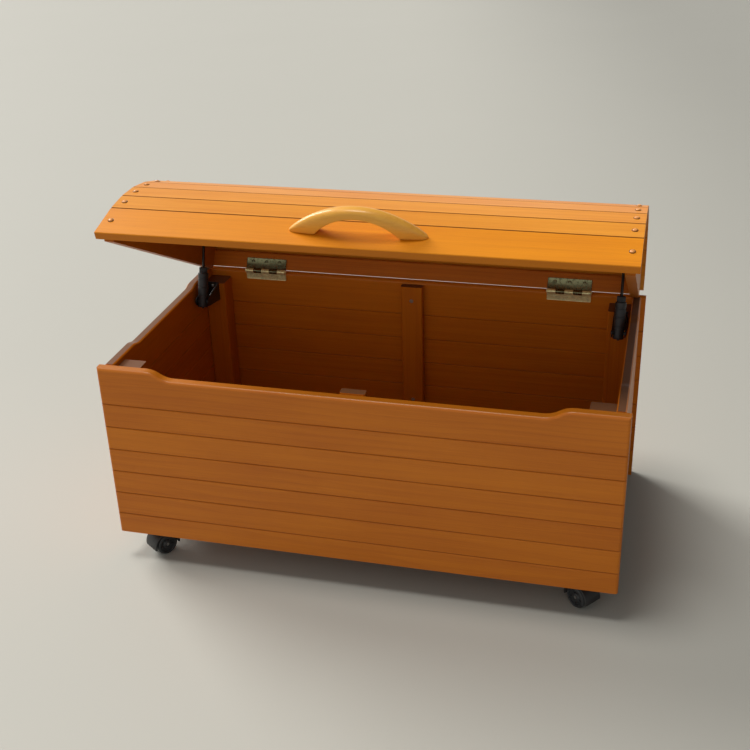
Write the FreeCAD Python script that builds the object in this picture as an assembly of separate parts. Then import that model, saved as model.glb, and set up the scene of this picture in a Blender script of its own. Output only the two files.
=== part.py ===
import FreeCAD, Part
import math
import os

# A toy box on two front casters, with a domed lid of slats held by two friction stays.
# Millimetres. X runs to the right, Y to the back and Z up. The origin lies on the floor,
# at the middle of the back panel's bottom edge, which is the chest's rear foot.

# Chest
WIDTH = 838.0
DEPTH = 457.0
PANEL_HEIGHT = 312.0
FLOOR_GAP = 54.0
FRONT_THICKNESS = 17.0
BACK_THICKNESS = 14.0
SIDE_THICKNESS = 15.0
SIDE_INSET = 8.0
FRONT_EDGE_ROUND = 5.0
FRONT_INNER_BEVEL = 2.5
BACK_EDGE_ROUND = 6.0
SIDE_EDGE_BEVEL = 2.0

# Boards glued edge to edge, marked by V grooves
GROOVE_WIDTH = 3.2
GROOVE_DEPTH = 1.7
FRONT_TOP_BOARD = 65.0
FRONT_BOARD = 41.9
BACK_TOP_BOARD = 67.0
BACK_BOARD = 49.0
LEAST_BOARD = 20.0

# Hand scoop in the front, shallow scoops in the sides
SCOOP_FROM_END = 81.0
SCOOP_DEPTH = 13.5
SCOOP_BEND = 46.0
SIDE_SCOOP_MARGIN = 76.0
SIDE_SCOOP_DEPTH = 5.0
SIDE_SCOOP_BEND = 26.0

# Posts, battens, bottom
POST = 39.0
FRONT_POST_DROP = 9.0
REAR_POST_DROP = 15.0
BATTEN_WIDTH = 40.0
BATTEN_THICKNESS = 15.0
FRONT_BATTEN_DROP = 12.0
BACK_BATTEN_DROP = 6.0
STRIP_BEVEL = 2.0
CLEAT = 19.0
BOTTOM_THICKNESS = 9.0
BOTTOM_CLEARANCE = 0.5

# Hinges
HINGE_AHEAD = 4.5
HINGE_RISE = 1.85
HINGE_FROM_END = 134.0
HINGE_LENGTH = 78.0
KNUCKLES = 5
KNUCKLE_GAP = 0.4
BARREL_RADIUS = 4.5
PIN_RADIUS = 2.5
PIN_END = 1.5
LEAF_THICKNESS = 2.0
BOX_LEAF_HEIGHT = 18.0
LID_LEAF_HEIGHT = 24.0
LEAF_SCREW_SPACING = 26.0
LEAF_SCREW_EDGE = 6.5

# Lid
LID_INSET = 5.5
LID_REST_ANGLE = 27.1
LID_OPEN_ANGLE = 60.0
LID_SEAT = 0.3
LID_FRONT = 442.0
LID_LIP = 9.0
SLAT_THICKNESS = 12.5
SLAT_WIDTH = 42.4
SLAT_GAP = 0.3
SLAT_BEVEL = 1.2
SLAT_COUNT = 10
FRONT_SLAT_WIDTH = 68.0
FRONT_SLAT_ANGLE = 42.6
SECOND_SLAT_ANGLE = 36.0
SLAT_TURN_ANGLE = 7.65
BACK_SLAT_FOOT = 14.0
END_BOARD_THICKNESS = 15.0
END_BOARD_SET = 6.5
END_BOARD_TIP = 418.0
RAIL_SET = 4.0
RAIL_THICKNESS = 12.0
RAIL_FOOT = 4.5
RAIL_HEIGHT = 29.0
PLUG_RADIUS = 4.8
PLUG_DOME = 2.4
PLUG_CROWN_RADIUS = 2.8

# Bow handle
HANDLE_LENGTH = 214.0
HANDLE_HEIGHT = 46.0
HANDLE_WIDTH = 22.0
HANDLE_TOE = 3.0
HANDLE_OPENING = 130.0
HANDLE_OPENING_HEIGHT = 31.0
HANDLE_UP_SLAT = 37.0
HANDLE_BEVEL = 5.0
HANDLE_SCREW_SPACING = 172.0

# Lid stays
STAY_FROM_END_BOARD = 12.5
STAY_PIVOT_AHEAD = 88.0
STAY_PIVOT_BELOW = 32.2
STAY_LID_ANGLE = 25.2
HEAD_RADIUS = 9.5
HEAD_ABOVE = 64.0
HEAD_BELOW = 10.0
HEAD_NUT = 10.0
HEAD_NUT_RADIUS = 7.5
ROD_RADIUS = 2.5
ROD_CLEARANCE = 0.6
ROD_EYE_RADIUS = 6.0
ROD_EYE_WIDTH = 6.0
ROD_SHOWS_BELOW = 2.5
TRUNNION_RADIUS = 3.0
TRUNNION_END = 1.2
FORK_SHEET = 2.0
FORK_CLEARANCE = 0.6
FORK_HEIGHT = 36.0
FORK_NOSE_RADIUS = 8.0
FORK_SCREW_SPACING = 22.0
STUD_SHOULDER_RADIUS = 4.0
STUD_CAP_RADIUS = 4.5
STUD_CAP = 1.5
STUD_BITE = 11.0

# Casters
CASTER_FROM_END = 69.0
CASTER_BACK_SET = 47.0
CASTER_PLATE = 42.0
CASTER_PLATE_THICKNESS = 2.5
CASTER_PLATE_CORNER = 6.0
CASTER_BOSS_RADIUS = 13.0
CASTER_BOSS = 8.0
CASTER_STEM_RADIUS = 4.0
CASTER_TRAIL = 16.0
CASTER_NECK_RADIUS = 10.0
WHEEL_RADIUS = 19.0
WHEEL_WIDTH = 14.0
WHEEL_BEVEL = 3.0
WEB_THICKNESS = 5.0
HOOD_THICKNESS = 3.0
HOOD_SKIRT_DROP = 4.0
AXLE_RADIUS = 3.0
AXLE_RECESS = 1.0
LEFT_CASTER_ANGLE = 36.0
RIGHT_CASTER_ANGLE = -52.0

# Screws
WOOD_SCREW_HEAD_RADIUS = 3.8
WOOD_SCREW_RADIUS = 1.9
WOOD_SCREW_CONE = 2.2
SCREW_BITE = 8.0
LEAF_SCREW_HEAD_RADIUS = 3.4
LEAF_SCREW_RADIUS = 1.6
LEAF_SCREW_LENGTH = 8.5
PAN_HEAD_RADIUS = 3.2
PAN_HEAD = 1.6
PAN_HEAD_CROWN_RADIUS = 2.2
PAN_SCREW_RADIUS = 1.6
PAN_SCREW_LENGTH = 11.0

# How many flat sides stand for a round
FASTENER_SIDE_COUNT = 8
SMALL_ROUND_SIDE_COUNT = 12
NUT_SIDE_COUNT = 6
ROUND_SIDE_COUNT = 28

# Fits
RUNNING_FIT = 0.05
SCREW_FIT = 0.1
SEAT = 0.3
OVERRUN = 5.0
LEAST_DIFFERENCE = 0.003

# Derived places of the chest
BACK_FACE = BACK_THICKNESS / 2
BACK_INNER = -BACK_THICKNESS / 2
FRONT_FACE = BACK_FACE - DEPTH
FRONT_INNER = FRONT_FACE + FRONT_THICKNESS
PANEL_TOP = FLOOR_GAP + PANEL_HEIGHT
SIDE_OUTER = WIDTH / 2 - SIDE_INSET
SIDE_INNER = SIDE_OUTER - SIDE_THICKNESS
BOTTOM_TOP = FLOOR_GAP + CLEAT + BOTTOM_THICKNESS
HINGE_Y = BACK_INNER - HINGE_AHEAD
HINGE_Z = PANEL_TOP + HINGE_RISE
HINGE_CENTRE = WIDTH / 2 - HINGE_FROM_END
LID_WIDTH = WIDTH - 2 * LID_INSET
END_BOARD_OUTER = LID_WIDTH / 2 - END_BOARD_SET
END_BOARD_INNER = END_BOARD_OUTER - END_BOARD_THICKNESS
STAY_CENTRE = END_BOARD_INNER - STAY_FROM_END_BOARD
CASTER_CENTRE = WIDTH / 2 - CASTER_FROM_END

X_AXIS = FreeCAD.Vector(1, 0, 0)
Y_AXIS = FreeCAD.Vector(0, 1, 0)
Z_AXIS = FreeCAD.Vector(0, 0, 1)


def vec(x, y, z):
    return FreeCAD.Vector(x, y, z)


def block(x_span, y_span, z_span):
    """Box between two values on each axis."""
    size = [span[1] - span[0] for span in (x_span, y_span, z_span)]
    return Part.makeBox(*size, vec(x_span[0], y_span[0], z_span[0]))


def rod_between(start, end, radius):
    """Cylinder from one point to another."""
    run = end - start
    return Part.makeCylinder(radius, run.Length, start, run)


def mirrored(shape):
    """The same shape on the other side of the chest."""
    return shape.mirror(vec(0, 0, 0), X_AXIS)


def on_side(shape, side):
    """Shapes are drawn for the right side, at positive X."""
    return mirrored(shape) if side == "left" else shape


def fused(shapes):
    first, *others = shapes
    return first.fuse(others).removeSplitter()


def rounded(shape, radius, chosen):
    """Round the edges for which chosen(edge) is true."""
    return shape.makeFillet(radius, [edge for edge in shape.Edges if chosen(edge)])


def bevelled(shape, width, chosen):
    """Bevel the edges for which chosen(edge) is true."""
    return shape.makeChamfer(width, [edge for edge in shape.Edges if chosen(edge)])


def lies_at(edge, axis, value):
    """True if both ends and the middle of an edge have this value on the axis, 0 to 2."""
    points = [vertex.Point for vertex in edge.Vertexes]
    points.append(edge.valueAt((edge.FirstParameter + edge.LastParameter) / 2))
    return all(math.isclose(point[axis], value, abs_tol=LEAST_DIFFERENCE) for point in points)



class Outline:
    """A closed outline in one plane, drawn from point to point; place maps (u, v) into space."""

    def __init__(self, place, u, v):
        self.place = place
        self.first = (u, v)
        self.at = (u, v)
        self.edges = []

    def line(self, u, v):
        if (u, v) != self.at:
            self.edges.append(Part.LineSegment(self.place(*self.at), self.place(u, v)).toShape())
        self.at = (u, v)
        return self

    def arc(self, middle, end):
        points = [self.place(*point) for point in (self.at, middle, end)]
        self.edges.append(Part.Arc(*points).toShape())
        self.at = end
        return self

    def bend(self, u, v):
        """Two equal arcs that leave and arrive level."""
        u_start, v_start = self.at
        run = u - u_start
        rise = v - v_start
        radius = (run ** 2 + rise ** 2) / (4 * abs(rise))
        half_turn = math.asin(abs(run) / 2 / radius) / 2
        middle = (u_start + run / 2, v_start + rise / 2)
        across = math.copysign(radius * math.sin(half_turn), run)
        up = math.copysign(radius * (1 - math.cos(half_turn)), rise)
        self.arc((u_start + across, v_start + up), middle)
        return self.arc((u - across, v - up), (u, v))

    def face(self):
        if self.at != self.first:
            self.line(*self.first)
        return Part.Face(Part.Wire(self.edges))


def polygon(place, points):
    outline = Outline(place, *points[0])
    for point in points[1:]:
        outline.line(*point)
    return outline.face()


def many_sided(profile, sides=FASTENER_SIDE_COUNT):
    """Small turned piece along Z from (radius, height) points, with flat sides."""
    rings = [side_ring(radius, height, sides) for radius, height in profile]
    faces = [flat_face(rings[0]), flat_face(rings[-1])]
    for low, high in zip(rings, rings[1:]):
        for k in range(sides):
            faces.append(flat_face([low[k - 1], low[k], high[k], high[k - 1]]))
    return Part.Solid(Part.Shell(faces))


def side_ring(radius, height, sides):
    turns = [2 * math.pi * side / sides for side in range(sides)]
    return [vec(radius * math.cos(turn), radius * math.sin(turn), height) for turn in turns]


def flat_face(points):
    return Part.Face(Part.makePolygon([*points, points[0]]))


def prism_between(start, end, radius, sides):
    """Bar with flat sides from one point to another, its corners at the radius."""
    run = end - start
    return placed(many_sided([(radius, 0), (radius, run.Length)], sides), start, run)


def over_flats(radius, sides):
    """Corner radius of a bar or hole whose flats lie at the radius."""
    return radius / math.cos(math.pi / sides)


def placed(shape, at, direction):
    """Put a shape drawn at the origin along +Z at a point, along a direction."""
    moved = shape.copy()
    moved.Placement = FreeCAD.Placement(at, FreeCAD.Rotation(Z_AXIS, direction))
    return moved


def flat_screw(head_radius, radius, cone, length, spare=0):
    """Countersunk screw pointing to +Z with its head's face at zero; spare makes its hole."""
    return many_sided([(head_radius + spare, 0), (radius + spare, cone),
                       (radius + spare, length + spare)])


def pan_screw(length, spare=0):
    """Pan head screw pointing to +Z with the underside of its head at zero."""
    return many_sided([(PAN_HEAD_CROWN_RADIUS, -PAN_HEAD), (PAN_HEAD_RADIUS, 0),
                       (PAN_SCREW_RADIUS + spare, 0), (PAN_SCREW_RADIUS + spare, length + spare)])


def groove_heights(top_board, board, bottom):
    """Heights of the joints between boards, from the top down."""
    heights = []
    height = PANEL_TOP - top_board
    while height - bottom > LEAST_BOARD:
        heights.append(height)
        height -= board
    return heights


def groove_cut(place, start, end, heights):
    """V grooves: place(depth, height) is a section, start and end its two ends."""
    half = GROOVE_WIDTH / 2
    cuts = []
    for height in heights:
        section = [(0, height - half), (GROOVE_DEPTH, height), (0, height + half)]
        outer = [(-OVERRUN, height + half), (-OVERRUN, height - half)]
        cuts.append(polygon(place(start), section + outer).extrude(end - start))
    return Part.Compound(cuts)


def long_grooves(y_face, inward, heights):
    """Grooves over the whole width, in a face at y_face."""
    def place(start):
        return lambda depth, height: vec(start.x, y_face + inward * depth, height)
    return groove_cut(place, vec(-WIDTH / 2, 0, 0), vec(WIDTH / 2, 0, 0), heights)


def side_grooves(x_face, inward, heights):
    """Grooves from front to back, in a face at x_face."""
    def place(start):
        return lambda depth, height: vec(x_face + inward * depth, start.y, height)
    return groove_cut(place, vec(0, FRONT_INNER, 0), vec(0, BACK_INNER, 0), heights)


FRONT_GROOVES = groove_heights(FRONT_TOP_BOARD, FRONT_BOARD, FLOOR_GAP)
BACK_GROOVES = groove_heights(BACK_TOP_BOARD, BACK_BOARD, 0)


def front_panel():
    half = WIDTH / 2
    scoop = WIDTH / 2 - SCOOP_FROM_END
    low = PANEL_TOP - SCOOP_DEPTH
    outline = Outline(lambda x, z: vec(x, FRONT_FACE, z), -half, FLOOR_GAP)
    outline.line(half, FLOOR_GAP)
    outline.line(half, PANEL_TOP)
    outline.line(scoop, PANEL_TOP)
    outline.bend(scoop - SCOOP_BEND, low)
    outline.line(SCOOP_BEND - scoop, low)
    outline.bend(-scoop, PANEL_TOP)
    outline.line(-half, PANEL_TOP)
    panel = outline.face().extrude(vec(0, FRONT_THICKNESS, 0))
    panel = rounded(panel, FRONT_EDGE_ROUND, lambda edge: lies_at(edge, 1, FRONT_FACE)
                    and not lies_at(edge, 2, FLOOR_GAP))
    panel = bevelled(panel, FRONT_INNER_BEVEL, lambda edge: lies_at(edge, 1, FRONT_INNER)
                     and edge.BoundBox.ZMin > low - SEAT)
    return panel.cut(long_grooves(FRONT_FACE, 1, FRONT_GROOVES))


def back_panel():
    half = WIDTH / 2
    panel = block((-half, half), (BACK_INNER, BACK_FACE), (0, PANEL_TOP))
    panel = rounded(panel, BACK_EDGE_ROUND, lambda edge: on_line(edge, vec(0, BACK_INNER, PANEL_TOP))
                    or on_line(edge, vec(0, BACK_FACE, PANEL_TOP)))
    return panel.cut(long_grooves(BACK_INNER, 1, BACK_GROOVES))


def side_panel():
    low = PANEL_TOP - SIDE_SCOOP_DEPTH
    start = FRONT_INNER + SIDE_SCOOP_MARGIN
    end = BACK_INNER - SIDE_SCOOP_MARGIN
    outline = Outline(lambda y, z: vec(SIDE_INNER, y, z), FRONT_INNER, FLOOR_GAP)
    outline.line(BACK_INNER, FLOOR_GAP)
    outline.line(BACK_INNER, PANEL_TOP)
    outline.line(end, PANEL_TOP)
    outline.bend(end - SIDE_SCOOP_BEND, low)
    outline.line(start + SIDE_SCOOP_BEND, low)
    outline.bend(start, PANEL_TOP)
    outline.line(FRONT_INNER, PANEL_TOP)
    panel = outline.face().extrude(vec(SIDE_THICKNESS, 0, 0))
    panel = bevelled(panel, SIDE_EDGE_BEVEL, lambda edge: edge.BoundBox.ZMin > low - LEAST_DIFFERENCE
                    and (lies_at(edge, 0, SIDE_INNER) or lies_at(edge, 0, SIDE_OUTER)))
    panel = panel.cut(side_grooves(SIDE_OUTER, -1, FRONT_GROOVES))
    return panel.cut(side_grooves(SIDE_INNER, 1, FRONT_GROOVES))


def upright(x_span, y_span, z_span):
    """Post or batten with its standing edges bevelled."""
    strip = block(x_span, y_span, z_span)
    middle = sum(z_span) / 2
    return bevelled(strip, STRIP_BEVEL, lambda edge: math.isclose(edge.CenterOfMass.z, middle))


def post(at_back):
    drop = REAR_POST_DROP if at_back else FRONT_POST_DROP
    y_span = (BACK_INNER - POST, BACK_INNER) if at_back else (FRONT_INNER, FRONT_INNER + POST)
    return upright((SIDE_INNER - POST, SIDE_INNER), y_span, (FLOOR_GAP, PANEL_TOP - drop))


def batten(at_back):
    drop = BACK_BATTEN_DROP if at_back else FRONT_BATTEN_DROP
    y_front = BACK_INNER - BATTEN_THICKNESS if at_back else FRONT_INNER
    x_span = (-BATTEN_WIDTH / 2, BATTEN_WIDTH / 2)
    return upright(x_span, (y_front, y_front + BATTEN_THICKNESS), (BOTTOM_TOP, PANEL_TOP - drop))


def long_cleat(at_back):
    """Strip under the bottom panel, between two posts."""
    half = SIDE_INNER - POST
    y_front = BACK_INNER - CLEAT if at_back else FRONT_INNER
    return block((-half, half), (y_front, y_front + CLEAT), (FLOOR_GAP, FLOOR_GAP + CLEAT))


def side_cleat():
    y_span = (FRONT_INNER + POST, BACK_INNER - POST)
    return block((SIDE_INNER - CLEAT, SIDE_INNER), y_span, (FLOOR_GAP, FLOOR_GAP + CLEAT))


def bottom_panel():
    half = SIDE_INNER - BOTTOM_CLEARANCE
    front = FRONT_INNER + BOTTOM_CLEARANCE
    back = BACK_INNER - BOTTOM_CLEARANCE
    panel = block((-half, half), (front, back), (BOTTOM_TOP - BOTTOM_THICKNESS, BOTTOM_TOP))
    notch = POST + BOTTOM_CLEARANCE
    for x_span in ((-half - OVERRUN, notch - SIDE_INNER), (SIDE_INNER - notch, half + OVERRUN)):
        for y_span in ((front - OVERRUN, FRONT_INNER + notch), (BACK_INNER - notch, back + OVERRUN)):
            panel = panel.cut(block(x_span, y_span, (FLOOR_GAP, PANEL_TOP)))
    return panel


def frame_screw_places():
    """Head point and direction of each screw in the battens, in the top and bottom boards."""
    places = []
    for grooves, y_head, toward in (
            (FRONT_GROOVES, FRONT_INNER + BATTEN_THICKNESS, -1),
            (BACK_GROOVES, BACK_INNER - BATTEN_THICKNESS, 1)):
        joints = [PANEL_TOP, *[height for height in grooves if height > BOTTOM_TOP]]
        boards = list(zip(joints, joints[1:]))
        for upper, lower in (boards[0], boards[-1]):
            places.append((vec(0, y_head, (upper + lower) / 2), Y_AXIS * toward))
    return places


def frame_screws(spare=0):
    screw = flat_screw(WOOD_SCREW_HEAD_RADIUS, WOOD_SCREW_RADIUS, WOOD_SCREW_CONE,
                       BATTEN_THICKNESS + SCREW_BITE, spare)
    return Part.Compound([placed(screw, *place) for place in frame_screw_places()])


def knuckle_spans():
    """Start and end of each knuckle of the right hinge, alternately on chest and lid."""
    step = HINGE_LENGTH / KNUCKLES
    start = HINGE_CENTRE - HINGE_LENGTH / 2
    return [(start + step * k, start + step * (k + 1)) for k in range(KNUCKLES)]


def on_pin(x):
    return vec(x, HINGE_Y, HINGE_Z)


def knuckle(span, radius):
    return prism_between(on_pin(span[0]), on_pin(span[1]), radius, SMALL_ROUND_SIDE_COUNT)


def hinge_leaf(own, y_span, z_span, screw_places, screw_direction):
    """Leaf with every other knuckle, bored for the pin and countersunk; own is 0 or 1."""
    spans = knuckle_spans()
    plate = block((spans[0][0], spans[-1][1]), y_span, z_span)
    leaf = fused([plate, *[knuckle(span, BARREL_RADIUS) for span in spans[own::2]]])
    room = BARREL_RADIUS + KNUCKLE_GAP
    for start, end in spans[1 - own::2]:
        leaf = leaf.cut(block((start - KNUCKLE_GAP / 2, end + KNUCKLE_GAP / 2),
                              (HINGE_Y - room, HINGE_Y + room), (HINGE_Z - room, HINGE_Z + room)))
    bore = over_flats(PIN_RADIUS + RUNNING_FIT, SMALL_ROUND_SIDE_COUNT)
    leaf = leaf.cut(knuckle((spans[0][0] - OVERRUN, spans[-1][1] + OVERRUN), bore))
    return leaf.cut(leaf_screws(screw_places, screw_direction, SCREW_FIT))


def leaf_screws(places, direction, spare=0):
    screw = flat_screw(LEAF_SCREW_HEAD_RADIUS, LEAF_SCREW_RADIUS, LEAF_THICKNESS,
                       LEAF_SCREW_LENGTH, spare)
    return Part.Compound([placed(screw, place, direction) for place in places])


def leaf_screw_row(y, z):
    return [vec(HINGE_CENTRE + LEAF_SCREW_SPACING * k, y, z) for k in (-1, 0, 1)]


BOX_LEAF_Y = (BACK_INNER - LEAF_THICKNESS, BACK_INNER)
BOX_LEAF_Z = (HINGE_Z - BOX_LEAF_HEIGHT, HINGE_Z)
BOX_LEAF_SCREWS = leaf_screw_row(BOX_LEAF_Y[0], BOX_LEAF_Z[0] + LEAF_SCREW_EDGE)
LID_LEAF_Y = (HINGE_Y + RAIL_SET - LEAF_THICKNESS, HINGE_Y + RAIL_SET)
LID_LEAF_Z = (HINGE_Z, HINGE_Z + LID_LEAF_HEIGHT)
LID_LEAF_SCREWS = leaf_screw_row(LID_LEAF_Y[0], LID_LEAF_Z[1] - LEAF_SCREW_EDGE)


def hinge_pin():
    spans = knuckle_spans()
    return rod_between(on_pin(spans[0][0] - PIN_END), on_pin(spans[-1][1] + PIN_END), PIN_RADIUS)


def lid_point(ahead, above, x=0):
    """Point of the closed lid, by its distances ahead of the hinge pin and above it."""
    return vec(x, HINGE_Y - ahead, HINGE_Z + above)


def opened(shape):
    """Turn a piece of the closed lid to its rest pose."""
    moved = shape.copy()
    moved.rotate(vec(0, HINGE_Y, HINGE_Z), -X_AXIS, LID_REST_ANGLE)
    return moved


def slat_directions():
    """Unit vectors along the slats' outer faces, from the front edge to the back edge."""
    slopes = [FRONT_SLAT_ANGLE]
    slopes += [SECOND_SLAT_ANGLE - SLAT_TURN_ANGLE * k for k in range(SLAT_COUNT + 1)]
    angles = [math.radians(slope) for slope in slopes]
    return [(-math.cos(angle), math.sin(angle)) for angle in angles] + [(0, -1)]


def slat_corners():
    """Outer corners of the slats, as (ahead, above) the hinge pin, from front to back."""
    directions = slat_directions()
    widths = [FRONT_SLAT_WIDTH] + [SLAT_WIDTH] * SLAT_COUNT
    corners = [(LID_FRONT, LID_LIP)]
    for width, (run, rise) in zip(widths, directions):
        ahead, above = corners[-1]
        corners.append((ahead + run * width, above + rise * width))
    ahead, above = corners[-1]
    run, rise = directions[-2]
    back = -RAIL_SET - RAIL_THICKNESS - SLAT_THICKNESS
    corners.append((back, above + rise * (back - ahead) / run))
    corners.append((back, BACK_SLAT_FOOT))
    return corners


def inner_corners():
    """Corners of the slats' inner faces, mitred where two slats meet."""
    directions = slat_directions()
    corners = slat_corners()
    inner = []
    for k, (ahead, above) in enumerate(corners):
        before = directions[max(k - 1, 0)]
        after = directions[min(k, len(directions) - 1)]
        normal = (before[1] + after[1], -before[0] - after[0])
        size = math.hypot(*normal)
        half_turn_cosine = size / 2
        depth = SLAT_THICKNESS / half_turn_cosine
        inner.append((ahead - normal[0] / size * depth, above - normal[1] / size * depth))
    return inner


def slat(index):
    outer = slat_corners()
    inner = inner_corners()
    run, rise = slat_directions()[index]
    last = len(outer) - 2
    trim_start = SLAT_GAP / 2 if index else 0
    trim_end = SLAT_GAP / 2 if index < last else 0
    section = []
    for corner, trim in ((outer[index], trim_start), (outer[index + 1], -trim_end),
                         (inner[index + 1], -trim_end), (inner[index], trim_start)):
        section.append((corner[0] + run * trim, corner[1] + rise * trim))
    face = polygon(lambda ahead, above: lid_point(ahead, above, -LID_WIDTH / 2), section)
    board = face.extrude(vec(LID_WIDTH, 0, 0))
    outer_ends = [lid_point(*point) for point in section[:2]]
    board = bevelled(board, SLAT_BEVEL, lambda edge: any(on_line(edge, end) for end in outer_ends))
    return board


def on_line(edge, point):
    """True for an edge along X through the point's Y and Z."""
    return lies_at(edge, 1, point.y) and lies_at(edge, 2, point.z)


def slat_plugs():
    """Raised plugs near both ends of every slat, over the screws into the end boards."""
    plug = many_sided([(PLUG_RADIUS, 0), (PLUG_CROWN_RADIUS, PLUG_DOME)])
    plugs = []
    plug_x = (END_BOARD_INNER + END_BOARD_OUTER) / 2
    corners = slat_corners()
    for k, (run, rise) in enumerate(slat_directions()):
        middle = [(corners[k][axis] + corners[k + 1][axis]) / 2 for axis in (0, 1)]
        outward = vec(0, -rise, -run)
        for x in (-plug_x, plug_x):
            plugs.append(placed(plug, lid_point(*middle, x), outward))
    return Part.Compound(plugs)


def stop_level():
    """Height of the lid's bevel above the hinge pin at full opening, just over the back panel."""
    return LID_SEAT - HINGE_RISE


def bevel_ahead(above):
    """Where the stop bevel crosses a height of the closed lid."""
    opening = math.radians(LID_OPEN_ANGLE)
    return (stop_level() - above * math.cos(opening)) / math.sin(opening)


def bevel_above(ahead):
    opening = math.radians(LID_OPEN_ANGLE)
    return (stop_level() - ahead * math.sin(opening)) / math.cos(opening)


def end_board():
    inner = inner_corners()
    foot = stop_level()
    back = -RAIL_SET - RAIL_THICKNESS
    slope = math.radians(FRONT_SLAT_ANGLE)
    tip_top = inner[0][1] + (inner[0][0] - END_BOARD_TIP) * math.tan(slope)
    points = [(END_BOARD_TIP, foot), (END_BOARD_TIP, tip_top), *inner[1:-1]]
    points += [(back, bevel_above(back)), (bevel_ahead(foot), foot)]
    face = polygon(lambda ahead, above: lid_point(ahead, above, END_BOARD_INNER), points)
    board = face.extrude(vec(END_BOARD_THICKNESS, 0, 0))
    centre = turned(STAY_LID_ANGLE, STAY_RADIUS)
    start = vec(END_BOARD_INNER - OVERRUN, centre.y, centre.z)
    end = vec(END_BOARD_INNER + STUD_BITE + SCREW_FIT, centre.y, centre.z)
    return board.cut(rod_between(start, end, ROD_RADIUS + SCREW_FIT))


def hinge_rail():
    back = -RAIL_SET - RAIL_THICKNESS
    top = RAIL_FOOT + RAIL_HEIGHT
    points = [(-RAIL_SET, RAIL_FOOT), (-RAIL_SET, top), (back, top), (back, bevel_above(back)),
              (bevel_ahead(RAIL_FOOT), RAIL_FOOT)]
    face = polygon(lambda ahead, above: lid_point(ahead, above, -END_BOARD_INNER), points)
    return face.extrude(vec(2 * END_BOARD_INNER, 0, 0))


def on_front_slat(x, up_slat, out):
    """Point on the front slat's outer face, by its distances up the slat and out of it."""
    run, rise = slat_directions()[0]
    ahead = LID_FRONT + run * up_slat + rise * out
    above = LID_LIP + rise * up_slat - run * out
    return lid_point(ahead, above, x)


def handle():
    half = HANDLE_LENGTH / 2
    opening = HANDLE_OPENING / 2
    low_edge = HANDLE_UP_SLAT - HANDLE_WIDTH / 2
    outline = Outline(lambda x, out: on_front_slat(x, low_edge, out), -half, 0)
    outline.line(-half, HANDLE_TOE)
    outline.arc((0, HANDLE_HEIGHT), (half, HANDLE_TOE))
    outline.line(half, 0)
    outline.line(opening, 0)
    outline.arc((0, HANDLE_OPENING_HEIGHT), (-opening, 0))
    start = on_front_slat(0, low_edge, 0)
    across = on_front_slat(0, low_edge + HANDLE_WIDTH, 0) - start
    bow = outline.face().extrude(across)

    def is_arc(edge, height):
        outward = (on_front_slat(0, 0, HANDLE_HEIGHT) - on_front_slat(0, 0, 0)).normalize()
        top = edge.valueAt((edge.FirstParameter + edge.LastParameter) / 2)
        return math.isclose((top - on_front_slat(0, 0, 0)).dot(outward), height, abs_tol=SEAT)

    bow = bevelled(bow, HANDLE_BEVEL, lambda edge: is_arc(edge, HANDLE_HEIGHT))
    return bow.cut(handle_screws_closed(SCREW_FIT))


def handle_screws_closed(spare=0):
    """Screws from inside the lid through the front slat into the handle's feet."""
    screw = pan_screw(SLAT_THICKNESS + PAN_SCREW_LENGTH, spare)
    outward = on_front_slat(0, 0, SLAT_THICKNESS) - on_front_slat(0, 0, 0)
    half = HANDLE_SCREW_SPACING / 2
    heads = [on_front_slat(x, HANDLE_UP_SLAT, -SLAT_THICKNESS) for x in (-half, half)]
    return Part.Compound([placed(screw, head, outward) for head in heads])


def turned(angle, radius):
    """Point at an angle and distance from the hinge pin, on the stays' plane."""
    radians = math.radians(angle)
    return lid_point(radius * math.cos(radians), radius * math.sin(radians), STAY_CENTRE)


STAY_RADIUS = math.hypot(STAY_PIVOT_AHEAD, STAY_PIVOT_BELOW)
STAY_BOX_ANGLE = -math.degrees(math.atan2(STAY_PIVOT_BELOW, STAY_PIVOT_AHEAD))
STAY_LOW = turned(STAY_BOX_ANGLE, STAY_RADIUS)
STAY_HIGH = turned(STAY_LID_ANGLE + LID_REST_ANGLE, STAY_RADIUS)
STAY_DIRECTION = (STAY_HIGH - STAY_LOW).normalize()


def stay_reach(opening):
    """Distance between a stay's two pivots with the lid open by this angle."""
    between = math.radians(STAY_LID_ANGLE + opening - STAY_BOX_ANGLE)
    return 2 * STAY_RADIUS * math.sin(between / 2)


def stay_head():
    """Friction head that rocks on two trunnions and lets the rod slide through."""
    below = STAY_LOW - STAY_DIRECTION * HEAD_BELOW
    nut = STAY_LOW + STAY_DIRECTION * (HEAD_ABOVE - HEAD_NUT)
    top = STAY_LOW + STAY_DIRECTION * HEAD_ABOVE
    reach = X_AXIS * (fork_outer() + TRUNNION_END)
    head = fused([
        rod_between(below, nut, HEAD_RADIUS),
        prism_between(nut, top, HEAD_NUT_RADIUS, NUT_SIDE_COUNT),
        rod_between(STAY_LOW - reach, STAY_LOW + reach, TRUNNION_RADIUS),
    ])
    overrun = STAY_DIRECTION * OVERRUN
    bore = over_flats(ROD_RADIUS + ROD_CLEARANCE, NUT_SIDE_COUNT)
    return head.cut(prism_between(below - overrun, top + overrun, bore, NUT_SIDE_COUNT))


def stay_rod():
    """Rod with an eye on the lid's stud; its end just shows below the head at rest."""
    length = stay_reach(LID_REST_ANGLE) + HEAD_BELOW + ROD_SHOWS_BELOW
    end = STAY_HIGH - STAY_DIRECTION * length
    half_eye = X_AXIS * (ROD_EYE_WIDTH / 2)
    rod = fused([
        rod_between(STAY_HIGH, end, ROD_RADIUS),
        prism_between(STAY_HIGH - half_eye, STAY_HIGH + half_eye, ROD_EYE_RADIUS,
                      SMALL_ROUND_SIDE_COUNT),
    ])
    overrun = X_AXIS * OVERRUN
    bore = rod_between(STAY_HIGH - half_eye - overrun, STAY_HIGH + half_eye + overrun,
                       ROD_RADIUS + RUNNING_FIT)
    return rod.cut(bore)


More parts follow.
